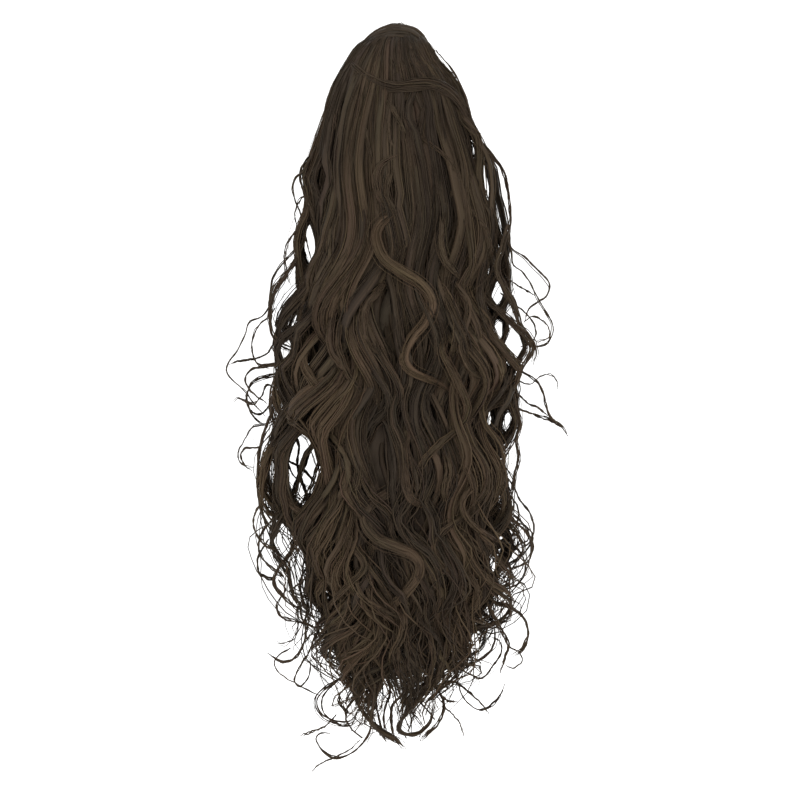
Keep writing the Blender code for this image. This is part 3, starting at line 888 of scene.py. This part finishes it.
def crown_arcs(count, depth, width, tones, front):
    """Strands over the dome from left to right, spread from this y to the arcs' back."""
    swept = np.linspace(-1.0, 1.0, ARC_RINGS)[None, :]
    start_y = ARCS_BACK + (front - ARCS_BACK) * (1 - np.linspace(0.0, 1.0, count) ** 0.8)
    start_y = start_y + rng.uniform(-0.0015, 0.0015, count)
    bow = rng.uniform(-0.010, 0.000, count)
    foot = rng.uniform(-0.020, 0.036, count)[:, None]
    y = start_y[:, None] + bow[:, None] * swept**2 + ripples(count, ARC_RINGS, 0.0006, (2, 4))
    middle_x, middle_y, half_width, half_depth = outline_at(foot)
    level = np.clip(1 - np.abs((y - middle_y) / half_depth) ** SQUARENESS, 0.02, 1)
    x = middle_x + 0.985 * half_width * level ** (1 / SQUARENESS) * np.sin(swept * math.pi / 2)
    share = (depth - 0.05 * swept**8) * rng.uniform(0.985, 1.015, (count, 1)) + 0 * x
    over_clip = 1 - smooth(clip_high.x, clip_high.x + 0.006, np.abs(x))
    lowest = (clip_high.z + OVER_CLIP) * over_clip + HEM * (1 - over_clip)
    z = np.maximum(dome_height(x, y, share), lowest)
    padded = np.pad(z, ((0, 0), (4, 4)), "edge")
    z = np.stack([np.convolve(row, ARC_SMOOTHING, "valid") for row in padded])
    z = z + DOME_LIFT * (1 - smooth(0.012, 0.028, np.abs(x - DOME_X)))
    paths = np.stack([x, y, z], axis=2)
    along = np.linspace(0.0, 1.0, ARC_RINGS)[None, :]
    widths = width * rng.uniform(0.7, 1.2, (count, 1))
    widths = widths * (0.25 + 0.75 * np.sin(math.pi * along) ** 0.6)
    return paths, widths, np.clip(rng.normal(tones, 0.12, count), 0, 1)


outer_arcs = crown_arcs(40, 1.0, 0.0026, 0.45, -0.036)
inner_arcs = crown_arcs(26, 0.93, 0.0034, 0.35, -0.040)
loose_arcs = crown_arcs(44, 1.005, 0.0006, 0.55, -0.036)
piece = hair("crown_arcs", (*outer_arcs, RIBBON), (*inner_arcs, RIBBON), (*loose_arcs, THREAD))
wear(piece, long_material, "crown_strands", "crown_hair")

# The locks that stand out in the photograph: the band that is wound across the crown, the
# brighter curls on the front, and the loose curls at both sides and at the tips. Each one is a
# bundle of strands along its own line through given points.

CURL_RINGS = 44
CURL_POINTS = 120

# Locks that rise out of the front and dive in again: number of strands, radius in millimetres,
# how far they stand out of the front in millimetres, tone, and places in the photograph
FRONT_LOCKS = (
    (22, 4.2, 5.5, 0.42, ((352, 66), (358, 73), (366, 80), (377, 86), (389, 90), (402, 91), (416, 89),
        (430, 88), (443, 92), (455, 101), (465, 115), (472, 132), (478, 150))),
    (5, 1.6, 3, 0.75, ((401, 38), (405, 48), (411, 62), (418, 74), (426, 84), (434, 92))),
    (4, 1.2, 3, 0.70, ((411, 40), (418, 52), (426, 66), (433, 80), (438, 92))),
    (5, 1.6, 3, 0.66, ((372, 84), (379, 93), (390, 108), (399, 125), (404, 138), (407, 153),
        (409, 168))),
    (4, 1.4, 3, 0.60, ((383, 100), (387, 120), (391, 144), (394, 158), (396, 172))),
    (5, 1.6, 3, 0.62, ((354, 90), (359, 108), (364, 124), (367, 140), (372, 162), (377, 180))),
    (4, 1.4, 3, 0.60, ((340, 126), (346, 138), (355, 151), (360, 166), (362, 180))),
    (5, 1.8, 3, 0.56, ((338, 84), (338, 104), (336, 124), (333, 140), (329, 156))),
    (8, 2.4, 5, 0.68, ((412, 150), (398, 159), (383, 167), (377, 180), (378, 195), (386, 211),
        (398, 224))),
    (6, 2.0, 4, 0.68, ((414, 134), (426, 145), (443, 158), (455, 174), (455, 190), (448, 205),
        (442, 216))),
    (9, 3.0, 5, 0.54, ((322, 150), (309, 161), (303, 176), (306, 192), (313, 213), (318, 236))),
    # The S-shaped curl down the front has a tone of 1.10, a painted highlight where it stands out of
    # the front
    (20, 4.0, 11, 1.10, ((408, 196), (405, 209), (391, 218), (379, 229), (376, 242), (384, 262),
        (401, 275), (418, 286), (428, 299), (429, 311), (424, 324), (414, 336), (406, 349), (404, 362),
        (411, 372), (426, 378), (442, 385), (455, 398))),
    (12, 3.4, 9, 0.66, ((388, 282), (378, 293), (368, 304), (364, 318), (364, 335), (370, 350),
        (381, 361), (394, 367))),
    (10, 3.0, 8, 0.62, ((352, 290), (343, 303), (335, 318), (332, 338), (335, 355), (346, 369),
        (353, 383), (362, 398))),
    (9, 2.8, 8, 0.56, ((362, 296), (352, 307), (343, 322), (340, 341), (343, 358), (349, 374),
        (358, 388), (368, 404))),
    (12, 3.2, 9, 0.72, ((320, 330), (311, 341), (305, 354), (306, 367), (313, 380), (322, 392),
        (329, 405), (326, 416), (314, 428), (306, 442))),
    (12, 3.6, 7, 0.54, ((346, 196), (342, 210), (335, 226), (332, 245), (332, 266), (338, 280),
        (348, 292))),
    (8, 2.6, 8, 0.62, ((444, 206), (441, 226), (440, 246), (444, 262), (453, 274), (462, 284))),
    (9, 3.0, 8, 0.60, ((458, 200), (470, 210), (481, 226), (487, 242), (490, 258), (498, 272))),
    (9, 3.0, 8, 0.64, ((432, 278), (441, 289), (450, 306), (455, 320), (455, 336), (451, 352),
        (447, 368))),
    (8, 2.8, 8, 0.60, ((450, 280), (459, 291), (466, 302), (467, 314), (463, 332), (461, 348),
        (466, 364), (476, 375), (492, 382))),
    (10, 3.0, 9, 0.66, ((452, 326), (443, 340), (441, 350), (444, 360), (452, 374), (460, 391),
        (466, 407), (463, 420), (452, 430), (438, 431))),
    (9, 2.8, 8, 0.58, ((476, 414), (463, 426), (452, 434), (440, 443), (425, 458), (416, 476),
        (412, 492))),
    (12, 3.4, 9, 0.68, ((412, 404), (408, 426), (405, 450), (406, 478), (411, 496), (422, 503),
        (436, 506))),
    (10, 3.0, 8, 0.58, ((322, 424), (330, 436), (340, 448), (347, 463), (347, 479), (340, 496),
        (334, 512))),
    (10, 3.0, 8, 0.62, ((332, 424), (344, 441), (354, 454), (359, 467), (357, 484), (350, 503),
        (344, 518))),
    (16, 4.2, 10, 0.74, ((412, 480), (395, 488), (376, 499), (366, 511), (368, 524), (378, 536),
        (396, 544), (411, 550), (419, 560), (418, 572), (408, 586), (395, 599), (384, 612),
        (378, 628))),
    (10, 3.0, 9, 0.66, ((334, 508), (340, 519), (349, 535), (356, 547), (364, 557), (364, 567),
        (352, 580), (338, 595), (329, 609), (327, 626))),
    (10, 3.0, 9, 0.68, ((494, 470), (482, 479), (468, 490), (462, 503), (467, 516), (480, 529),
        (494, 538), (504, 548))),
    (10, 3.0, 9, 0.66, ((468, 512), (455, 520), (440, 530), (433, 542), (435, 554), (444, 566),
        (457, 575), (468, 588))),
    (9, 2.8, 8, 0.56, ((288, 470), (284, 486), (291, 501), (303, 512), (316, 520))),
    (10, 3.0, 7, 0.54, ((372, 404), (366, 420), (364, 440), (368, 458), (366, 478), (360, 494))),
    (10, 3.0, 8, 0.58, ((438, 440), (446, 456), (448, 472), (444, 490), (446, 506))),
    (9, 2.8, 8, 0.56, ((398, 600), (404, 616), (401, 634), (392, 650), (390, 668))),
    (9, 2.8, 8, 0.56, ((350, 600), (344, 618), (340, 634), (344, 650), (354, 664))),
    (6, 3.0, 6, 0.50, ((336, 590), (340, 615), (346, 640), (350, 662), (356, 686), (360, 714))),
    (6, 3.0, 6, 0.46, ((352, 600), (350, 625), (352, 650), (358, 672), (363, 696))),
    (6, 3.0, 5, 0.48, ((372, 600), (378, 625), (376, 650), (372, 674))),
    (6, 3.4, 6, 0.50, ((420, 600), (428, 625), (432, 650), (428, 672), (420, 694))),
    (6, 3.0, 6, 0.46, ((440, 600), (446, 622), (446, 645), (440, 668), (434, 692))),
    (6, 3.0, 6, 0.48, ((400, 610), (396, 635), (398, 660), (404, 684))),
    (5, 2.6, 6, 0.46, ((460, 590), (466, 612), (468, 634), (462, 656), (452, 672))),
    (5, 2.6, 6, 0.46, ((324, 585), (328, 608), (334, 630), (338, 652), (346, 670))),
)

# Loose curls that start inside the hair: number of strands, radius in millimetres, depth from the
# hair's middle in millimetres with the front negative, and places in the photograph
LOOSE_CURLS = (
    # The left side, from the crown down
    (2, 0.8, -14, ((316, 148), (305, 171), (295, 181), (294, 196), (302, 220), (306, 240), (312, 262))),
    (2, 0.7, -8, ((330, 186), (318, 197), (303, 199), (296, 212), (298, 228), (308, 240))),
    (5, 1.6, -10, ((308, 196), (306, 216), (305, 238), (296, 260), (283, 280), (275, 292), (271, 306))),
    (4, 1.4, -16, ((304, 208), (300, 226), (288, 246), (286, 262), (287, 274), (292, 286))),
    (4, 1.3, -4, ((312, 214), (299, 244), (286, 260), (275, 274), (271, 288), (270, 302), (270, 318),
        (272, 336))),
    (9, 3.0, -20, ((296, 262), (286, 276), (276, 290), (271, 304), (270, 318), (273, 334), (282, 346),
        (296, 352))),
    (2, 0.7, -2, ((272, 292), (269, 306), (261, 317), (250, 322), (245, 335), (237, 350), (228, 363),
        (226, 371), (233, 381), (245, 391), (253, 403), (266, 417))),
    (3, 0.8, -12, ((276, 308), (270, 317), (260, 325), (254, 335), (252, 348), (255, 360), (263, 367),
        (276, 368))),
    (3, 0.9, 4, ((280, 336), (273, 345), (266, 354), (253, 359), (237, 362), (228, 366))),
    (4, 1.2, -14, ((296, 372), (286, 366), (270, 365), (254, 368), (246, 376), (247, 386), (256, 396),
        (268, 404))),
    (5, 1.4, 2, ((296, 378), (281, 374), (266, 376), (253, 381), (247, 393), (248, 405), (254, 418),
        (266, 428))),
    (3, 0.8, -6, ((296, 400), (281, 394), (268, 384), (262, 396), (254, 404), (246, 401), (238, 398),
        (233, 402))),
    (3, 1.0, 8, ((272, 402), (262, 412), (252, 412), (246, 402), (245, 391))),
    (2, 0.7, 0, ((276, 418), (266, 424), (253, 426), (245, 439), (238, 451), (239, 462), (247, 467),
        (259, 467))),
    (3, 0.7, -10, ((272, 424), (265, 437), (260, 447), (246, 449), (241, 456), (246, 467), (252, 471))),
    (10, 2.6, -6, ((274, 408), (267, 426), (262, 444), (259, 462), (258, 482), (260, 502), (266, 520),
        (276, 534))),
    (8, 2.2, -22, ((330, 424), (318, 440), (306, 456), (301, 474), (298, 490), (290, 504))),
    (8, 1.9, -2, ((292, 430), (299, 446), (297, 464), (302, 482), (309, 500), (312, 514))),
    (8, 1.9, 6, ((316, 428), (311, 446), (305, 462), (297, 478), (293, 496), (298, 512))),
    (5, 1.3, -8, ((282, 452), (290, 462), (300, 467), (310, 476), (320, 488))),
    (7, 2.0, -10, ((336, 432), (326, 448), (318, 466), (312, 484), (304, 500), (296, 512))),
    (4, 1.2, 4, ((282, 430), (290, 446), (286, 460), (292, 474), (302, 484), (312, 488))),
    (4, 1.2, -14, ((264, 500), (256, 512), (254, 526), (260, 538), (270, 546), (282, 548))),
    (5, 1.4, -4, ((272, 520), (262, 532), (258, 548), (264, 562), (276, 572), (288, 582))),
    (3, 0.9, 8, ((268, 540), (258, 556), (258, 572), (268, 580), (278, 578))),
    (6, 1.6, -14, ((300, 536), (290, 552), (280, 566), (274, 580), (282, 594), (296, 606), (308, 612))),
    (6, 1.6, 2, ((318, 552), (308, 566), (300, 582), (302, 598), (308, 616), (306, 634))),
    (4, 1.2, -8, ((278, 580), (285, 590), (277, 604), (281, 616), (296, 621), (309, 625), (320, 632))),
    (3, 1.0, 4, ((302, 600), (296, 612), (298, 628), (292, 641), (279, 645), (272, 642))),
    (4, 1.2, -6, ((308, 600), (306, 618), (305, 640), (295, 657), (281, 661), (267, 653))),
    (2, 0.7, 8, ((290, 650), (276, 658), (275, 671), (293, 684), (310, 694), (322, 700))),
    (3, 0.9, -8, ((322, 622), (314, 638), (309, 652), (299, 668), (294, 681), (300, 687), (309, 677),
        (311, 658))),
    # The right side, from the crown down
    (2, 0.8, -14, ((436, 52), (446, 64), (457, 79), (467, 103), (473, 126), (481, 150), (486, 170))),
    (7, 2.2, -12, ((468, 128), (480, 144), (492, 158), (503, 174), (508, 196), (510, 216), (509, 236))),
    (2, 0.8, -4, ((470, 140), (478, 156), (486, 168), (492, 184), (488, 198))),
    (4, 1.3, -14, ((506, 226), (509, 247), (523, 258), (535, 270), (545, 280), (549, 288), (545, 297),
        (537, 302), (528, 310), (523, 324))),
    (4, 1.3, -2, ((508, 232), (511, 248), (513, 264), (523, 273), (531, 285), (538, 300), (546, 313),
        (552, 324), (552, 334), (546, 344), (533, 347), (522, 344))),
    (2, 0.7, -8, ((524, 322), (533, 316), (543, 321), (549, 330), (548, 338), (539, 341), (530, 338))),
    (12, 3.2, -16, ((508, 226), (501, 250), (496, 270), (504, 289), (511, 301), (516, 313), (520, 326),
        (528, 338), (531, 350), (525, 361), (519, 372), (516, 388))),
    (8, 2.2, -24, ((476, 290), (488, 303), (500, 313), (513, 326), (528, 338), (534, 352), (530, 364))),
    (3, 1.0, 0, ((500, 292), (510, 301), (523, 310), (533, 321), (536, 333), (532, 342), (520, 348))),
    (2, 0.6, 6, ((500, 262), (506, 276), (516, 284), (528, 290), (536, 296))),
    (4, 1.2, -6, ((508, 350), (514, 366), (521, 371), (536, 381), (543, 394), (546, 407), (552, 419),
        (563, 427), (568, 437))),
    (4, 1.2, 4, ((504, 398), (519, 409), (533, 414), (546, 418), (556, 422), (564, 429))),
    (3, 0.9, -14, ((504, 380), (518, 394), (527, 403), (537, 408), (547, 416))),
    (2, 0.6, 8, ((518, 380), (530, 384), (540, 377), (550, 374), (557, 380), (558, 392))),
    (8, 2.2, -8, ((500, 390), (514, 404), (520, 424), (516, 440), (518, 458), (514, 474), (512, 490),
        (506, 508))),
    (4, 1.3, 2, ((502, 470), (512, 484), (520, 500), (530, 514), (534, 530), (528, 544), (516, 548))),
    (5, 1.5, -10, ((496, 500), (508, 516), (524, 530), (532, 546), (526, 562), (512, 568), (502, 580))),
    (3, 1.0, 6, ((506, 540), (520, 552), (526, 568), (520, 584), (508, 590))),
    (6, 1.6, -12, ((484, 580), (492, 600), (508, 606), (522, 616), (528, 632), (522, 648), (510, 656))),
    (6, 1.6, -2, ((486, 590), (492, 618), (495, 636), (491, 650), (478, 660), (462, 665), (450, 660))),
    (5, 1.5, -16, ((484, 596), (497, 622), (508, 644), (504, 658), (500, 672))),
    (3, 1.0, 4, ((500, 630), (509, 646), (520, 654), (522, 664), (512, 670), (504, 664))),
    (3, 0.9, -8, ((446, 660), (457, 668), (470, 674), (482, 677), (492, 666), (501, 652), (500, 641),
        (489, 636))),
    (4, 1.2, 0, ((470, 600), (468, 622), (458, 640), (454, 656), (462, 668), (476, 664))),
    # The tips, from left to right
    (7, 1.8, -12, ((330, 640), (338, 656), (346, 672), (353, 684), (358, 700), (360, 712))),
    (6, 1.3, -16, ((356, 664), (340, 678), (324, 689), (316, 699), (320, 712), (334, 721), (352, 721),
        (360, 709))),
    (4, 1.1, -4, ((350, 672), (332, 686), (322, 700), (324, 714), (340, 726), (356, 724))),
    (3, 0.9, 4, ((356, 676), (344, 690), (338, 702), (346, 714), (354, 716))),
    (8, 1.6, -10, ((350, 682), (359, 706), (373, 724), (388, 735), (398, 742), (406, 752))),
    (4, 1.0, -2, ((372, 704), (371, 726), (366, 739), (353, 754), (336, 759), (323, 752), (316, 741),
        (320, 734), (331, 735))),
    (2, 0.6, 4, ((360, 742), (350, 752), (336, 759), (323, 764), (313, 771), (311, 777))),
    (3, 0.9, -6, ((372, 656), (376, 680), (376, 704), (380, 724), (384, 738), (392, 742))),
    (3, 0.9, 6, ((384, 660), (386, 678), (391, 694), (385, 710), (384, 726), (388, 738))),
    (3, 0.9, -14, ((412, 676), (402, 694), (392, 706), (391, 722), (394, 738))),
    (6, 1.3, -8, ((440, 676), (428, 690), (416, 702), (404, 717), (398, 727), (403, 734), (417, 735),
        (428, 726), (433, 712), (433, 698))),
    (5, 1.3, -14, ((426, 670), (437, 688), (443, 700), (443, 712), (436, 724), (426, 734), (419, 743))),
    (4, 1.1, -4, ((420, 676), (433, 687), (446, 684), (457, 685), (469, 693), (481, 703), (490, 714))),
    (3, 0.9, 4, ((448, 660), (457, 679), (462, 696), (471, 708), (482, 713), (492, 708), (500, 698),
        (505, 684))),
    (2, 0.6, 0, ((436, 696), (446, 710), (458, 722), (464, 738))),
    (2, 0.7, -10, ((432, 684), (441, 694), (450, 702), (460, 703))),
    (2, 0.6, 0, ((336, 716), (326, 726), (313, 733), (299, 737))),
)


def curve_through(points, rings):
    """A smooth line through given points, at evenly spaced rings."""
    points = np.array(points, float)
    padded = np.vstack([2 * points[0] - points[1], points, 2 * points[-1] - points[-2]])
    part = np.linspace(0, 1, 16, endpoint=False)[:, None]
    pieces = []
    for before, start, end, after in zip(padded, padded[1:], padded[2:], padded[3:]):
        bend = (2 * before - 5 * start + 4 * end - after) * part**2
        twist = (3 * start - before - 3 * end + after) * part**3
        pieces.append((2 * start + (end - before) * part + bend + twist) / 2)
    line = np.vstack([*pieces, points[-1:]])
    gone = np.concatenate([[0], np.cumsum(np.linalg.norm(np.diff(line, axis=0), axis=1))])
    wanted = np.linspace(0, gone[-1], rings)
    return np.stack([np.interp(wanted, gone, column) for column in line.T], axis=1)


def line_in_photo(points, depth_at):
    """A line in metres through places in the photograph. depth_at gives y from x, z and share."""
    line = curve_through(points, CURL_POINTS)
    x, z = from_photo(line[:, 0], line[:, 1])
    return np.stack([x, depth_at(x, z, np.linspace(0.0, 1.0, CURL_POINTS)), z], axis=1)


def front_opening(share):
    """A lock on the front is fullest in its middle."""
    return 0.55 + 0.45 * np.sin(math.pi * share)


def loose_opening(share):
    """A loose curl's strands part more and more towards its tip."""
    return 0.7 + 0.3 * np.sin(math.pi * share) + 0.5 * share**2


def on_front(rise):
    """Depth for a lock that lies on the hair's front and stands out by rise in its middle."""

    def depth_at(x, z, share):
        middle_x, middle_y, half_width, half_depth = outline_at(z)
        level = np.clip(1 - np.abs((x - middle_x) / (half_width * 0.97)) ** SQUARENESS, 0.04, 1)
        front = middle_y - 0.93 * np.abs(half_depth) * level ** (1 / SQUARENESS)
        return front - (0.8 * rise + 0.009) * np.sin(math.pi * share) ** 0.6 + 0.009

    return depth_at


def at_side(depth):
    """Depth for a loose curl, which wanders a little about its own distance from the middle."""
    swing = rng.uniform(0.003, 0.007) * rng.choice((-1, 1))
    waves = rng.uniform(0.8, 1.4)
    start = rng.uniform(0, 2 * math.pi)

    def depth_at(x, z, share):
        middle_y = outline_at(z)[1]
        return middle_y + depth + swing * np.sin(2 * math.pi * waves * share + start)

    return depth_at


front_lines = np.stack([line_in_photo(row[4], on_front(row[2] / 1000)) for row in FRONT_LOCKS])
clear_clip(front_lines, 0.0060)
each, radius, _, tone, _ = (np.array(column, dtype=object) for column in zip(*FRONT_LOCKS))
each = each.astype(int)
radius = radius.astype(float) / 1000
tone = tone.astype(float)
fading = (1 - 0.6 * smooth(0.85, 1.0, np.linspace(0.0, 1.0, CURL_RINGS)))[None, :]
broad = np.clip((each / 4).astype(int), 1, 5)
paths, half_widths, own = strands_along(
    front_lines, broad, 0.7 * radius, 0.0007 + 0.32 * radius, front_opening, CURL_RINGS, 0
)
whole = (paths, half_widths * fading, tone[own], RIBBON)
paths, half_widths, own = strands_along(
    front_lines, each, 1.15 * radius, THREAD_HALF, front_opening, CURL_RINGS, lift=0.0008
)
tones = np.clip(tone[own] + rng.normal(0.05, 0.16, len(own)), 0, 1.4)
fine = (paths, half_widths * fading, tones, THREAD)
wear(hair("front_locks", whole, fine), long_material, "fall_strands", "crown_hair", "fall_hair")

side_lines = [line_in_photo(row[3], at_side(row[2] / 1000)) for row in LOOSE_CURLS]
each, radius, _, _ = zip(*LOOSE_CURLS)
paths, half_widths, own = strands_along(
    np.stack(side_lines), each, np.array(radius) / 1000, 0.0008, loose_opening, CURL_RINGS
)
tones = np.clip(rng.normal(0.42, 0.1, len(own)), 0, 1)
piece = hair("loose_curls", (paths, half_widths, tones, THREAD))
wear(piece, long_material, "fall_strands", "crown_hair", "fall_hair")

# Flyaways: single loose hairs all round, which leave the locks they started in.

FLYAWAYS = 160
FLYAWAY_RINGS = 48


def flyaway_lines():
    """Lines of single hairs that wave down the outside from anywhere on the upper hair."""
    angle = rng.uniform(0, 2 * math.pi, (FLYAWAYS, 1))
    root = rng.uniform(HEM - 0.06, CROWN_TOP - 0.02, FLYAWAYS)
    tip = root - rng.uniform(0.15, 0.42, FLYAWAYS)
    tip = np.maximum(tip, TIPS + rng.uniform(0.0, 0.08, FLYAWAYS))
    swing = rng.uniform(0.3, 1.1, FLYAWAYS)
    pitch = rng.uniform(0.07, 0.13, FLYAWAYS)
    share = np.linspace(0.0, 1.0, LINE_POINTS)[None, :]
    phase = rng.uniform(0, 2 * math.pi, (FLYAWAYS, 1)) + 0 * share
    lag = rng.uniform(1.0, 2.1, FLYAWAYS)
    z, sway, dip = fall_of_waves(root, tip, swing, pitch, phase, lag, rng.uniform(0, 0.3, FLYAWAYS))
    out = rng.uniform(0.90, 1.00, (FLYAWAYS, 1)) + rng.uniform(-0.05, 0.08, (FLYAWAYS, 1)) * share
    x, y = on_outline(z, angle + 0.15 * np.sin(4 * share + phase), out)
    return np.stack([x + 0.8 * sway, y + 0.5 * dip, z], axis=2)


def steady(share):
    """A single hair's bundle has no opening that changes."""
    return 1.0 + 0 * share


lines = clear_clip(part_hair(flyaway_lines(), 0.0), 0.0060)
paths, half_widths, own = strands_along(lines, 1, 0.0, 0.00016, steady, FLYAWAY_RINGS, 0)
piece = hair("flyaways", (paths, half_widths, rng.uniform(0.3, 0.8, FLYAWAYS), THREAD))
wear(piece, long_material, "fall_strands", "crown_hair", "fall_hair")

# The stage: a plain pale floor that curves up behind into a plain backdrop, soft light from all
# round, and the camera level with the middle of the hair, as in the photograph.

FLOOR_Z = TIPS - 0.06
FRAME_PIXELS = 800
CAMERA_AWAY = 2.4
FRONT_PLANE = -0.03


def add_backdrop():
    """The floor, the bend behind it and the wall above, of pale paper that glows a little."""
    shape = bmesh.new()
    bmesh.ops.create_grid(shape, x_segments=1, y_segments=1, size=3.0)
    bmesh.ops.translate(shape, verts=shape.verts, vec=(0.0, 0.0, FLOOR_Z))
    far = [e for e in shape.edges if all(v.co.y > 0 for v in e.verts)]
    bend = bmesh.ops.spin(
        shape,
        geom=far,
        cent=(0.0, 3.0, FLOOR_Z + 1.0),
        axis=(1.0, 0.0, 0.0),
        angle=math.pi / 2,
        steps=24,
    )["geom_last"]
    edges = [e for e in bend if isinstance(e, bmesh.types.BMEdge)]
    raised = bmesh.ops.extrude_edge_only(shape, edges=edges)
    top = [v for v in raised["geom"] if isinstance(v, bmesh.types.BMVert)]
    bmesh.ops.translate(shape, verts=top, vec=(0.0, 0.0, 3.0))
    bmesh.ops.recalc_face_normals(shape, faces=shape.faces)
    for face in shape.faces:
        face.smooth = True
    mesh = bpy.data.meshes.new("backdrop")
    shape.to_mesh(mesh)
    shape.free()
    backdrop = bpy.data.objects.new("backdrop", mesh)
    bpy.context.scene.collection.objects.link(backdrop)
    material, tree, shader = new_material("pale_paper", 0.1)
    shader.inputs["Base Color"].default_value = (0.93, 0.93, 0.93, 1.0)
    shader.inputs["Emission Color"].default_value = (1.0, 1.0, 1.0, 1.0)
    shader.inputs["Emission Strength"].default_value = 0.25
    shader.inputs["Roughness"].default_value = 0.9
    mesh.materials.append(material)


def add_light(name, place, size, power):
    """A square soft light that faces the middle of the hair."""
    lamp = bpy.data.lights.new(name, "AREA")
    lamp.size = size
    lamp.energy = power
    light = bpy.data.objects.new(name, lamp)
    target = Vector((0.0, FRONT_PLANE, (TIPS + CROWN_TOP) / 2))
    light.location = place
    light.rotation_euler = (target - Vector(place)).to_track_quat("-Z", "Y").to_euler()
    bpy.context.scene.collection.objects.link(light)


def add_camera():
    """Level with the middle of the frame, and as far out as makes its width the photograph's."""
    middle = Vector((FRAME_PIXELS / 2, FRAME_PIXELS / 2))
    x = (middle.x - ORIGIN_PIXEL.x) * PIXEL
    z = (ORIGIN_PIXEL.y - middle.y) * PIXEL
    camera = bpy.data.cameras.new("camera")
    camera.sensor_width = 36.0
    camera.lens = camera.sensor_width * CAMERA_AWAY / (FRAME_PIXELS * PIXEL)
    holder = bpy.data.objects.new("camera", camera)
    holder.location = (x, FRONT_PLANE - CAMERA_AWAY, z)
    holder.rotation_euler = (math.pi / 2, 0.0, 0.0)
    bpy.context.scene.collection.objects.link(holder)
    bpy.context.scene.camera = holder


LIGHTS = (
    # name, place, size and watts
    ("key", (-0.7, -1.9, 0.5), 1.4, 13.0),
    ("fill", (0.9, -2.0, -0.2), 1.5, 10.0),
    ("left side", (-2.0, -0.5, -0.2), 1.2, 7.0),
    ("right side", (2.0, -0.5, -0.3), 1.2, 12.0),
    ("top", (0.1, -0.3, 1.6), 1.0, 3.0),
    ("behind", (0.3, 1.6, 0.9), 1.2, 14.0),
)

add_backdrop()
for light in LIGHTS:
    add_light(*light)
world = bpy.data.worlds.new("studio")
world.use_nodes = True
world.node_tree.nodes["Background"].inputs["Color"].default_value = (1.0, 1.0, 1.0, 1.0)
world.node_tree.nodes["Background"].inputs["Strength"].default_value = 1.0
bpy.context.scene.world = world
bpy.context.scene.view_settings.view_transform = "Standard"
add_camera()
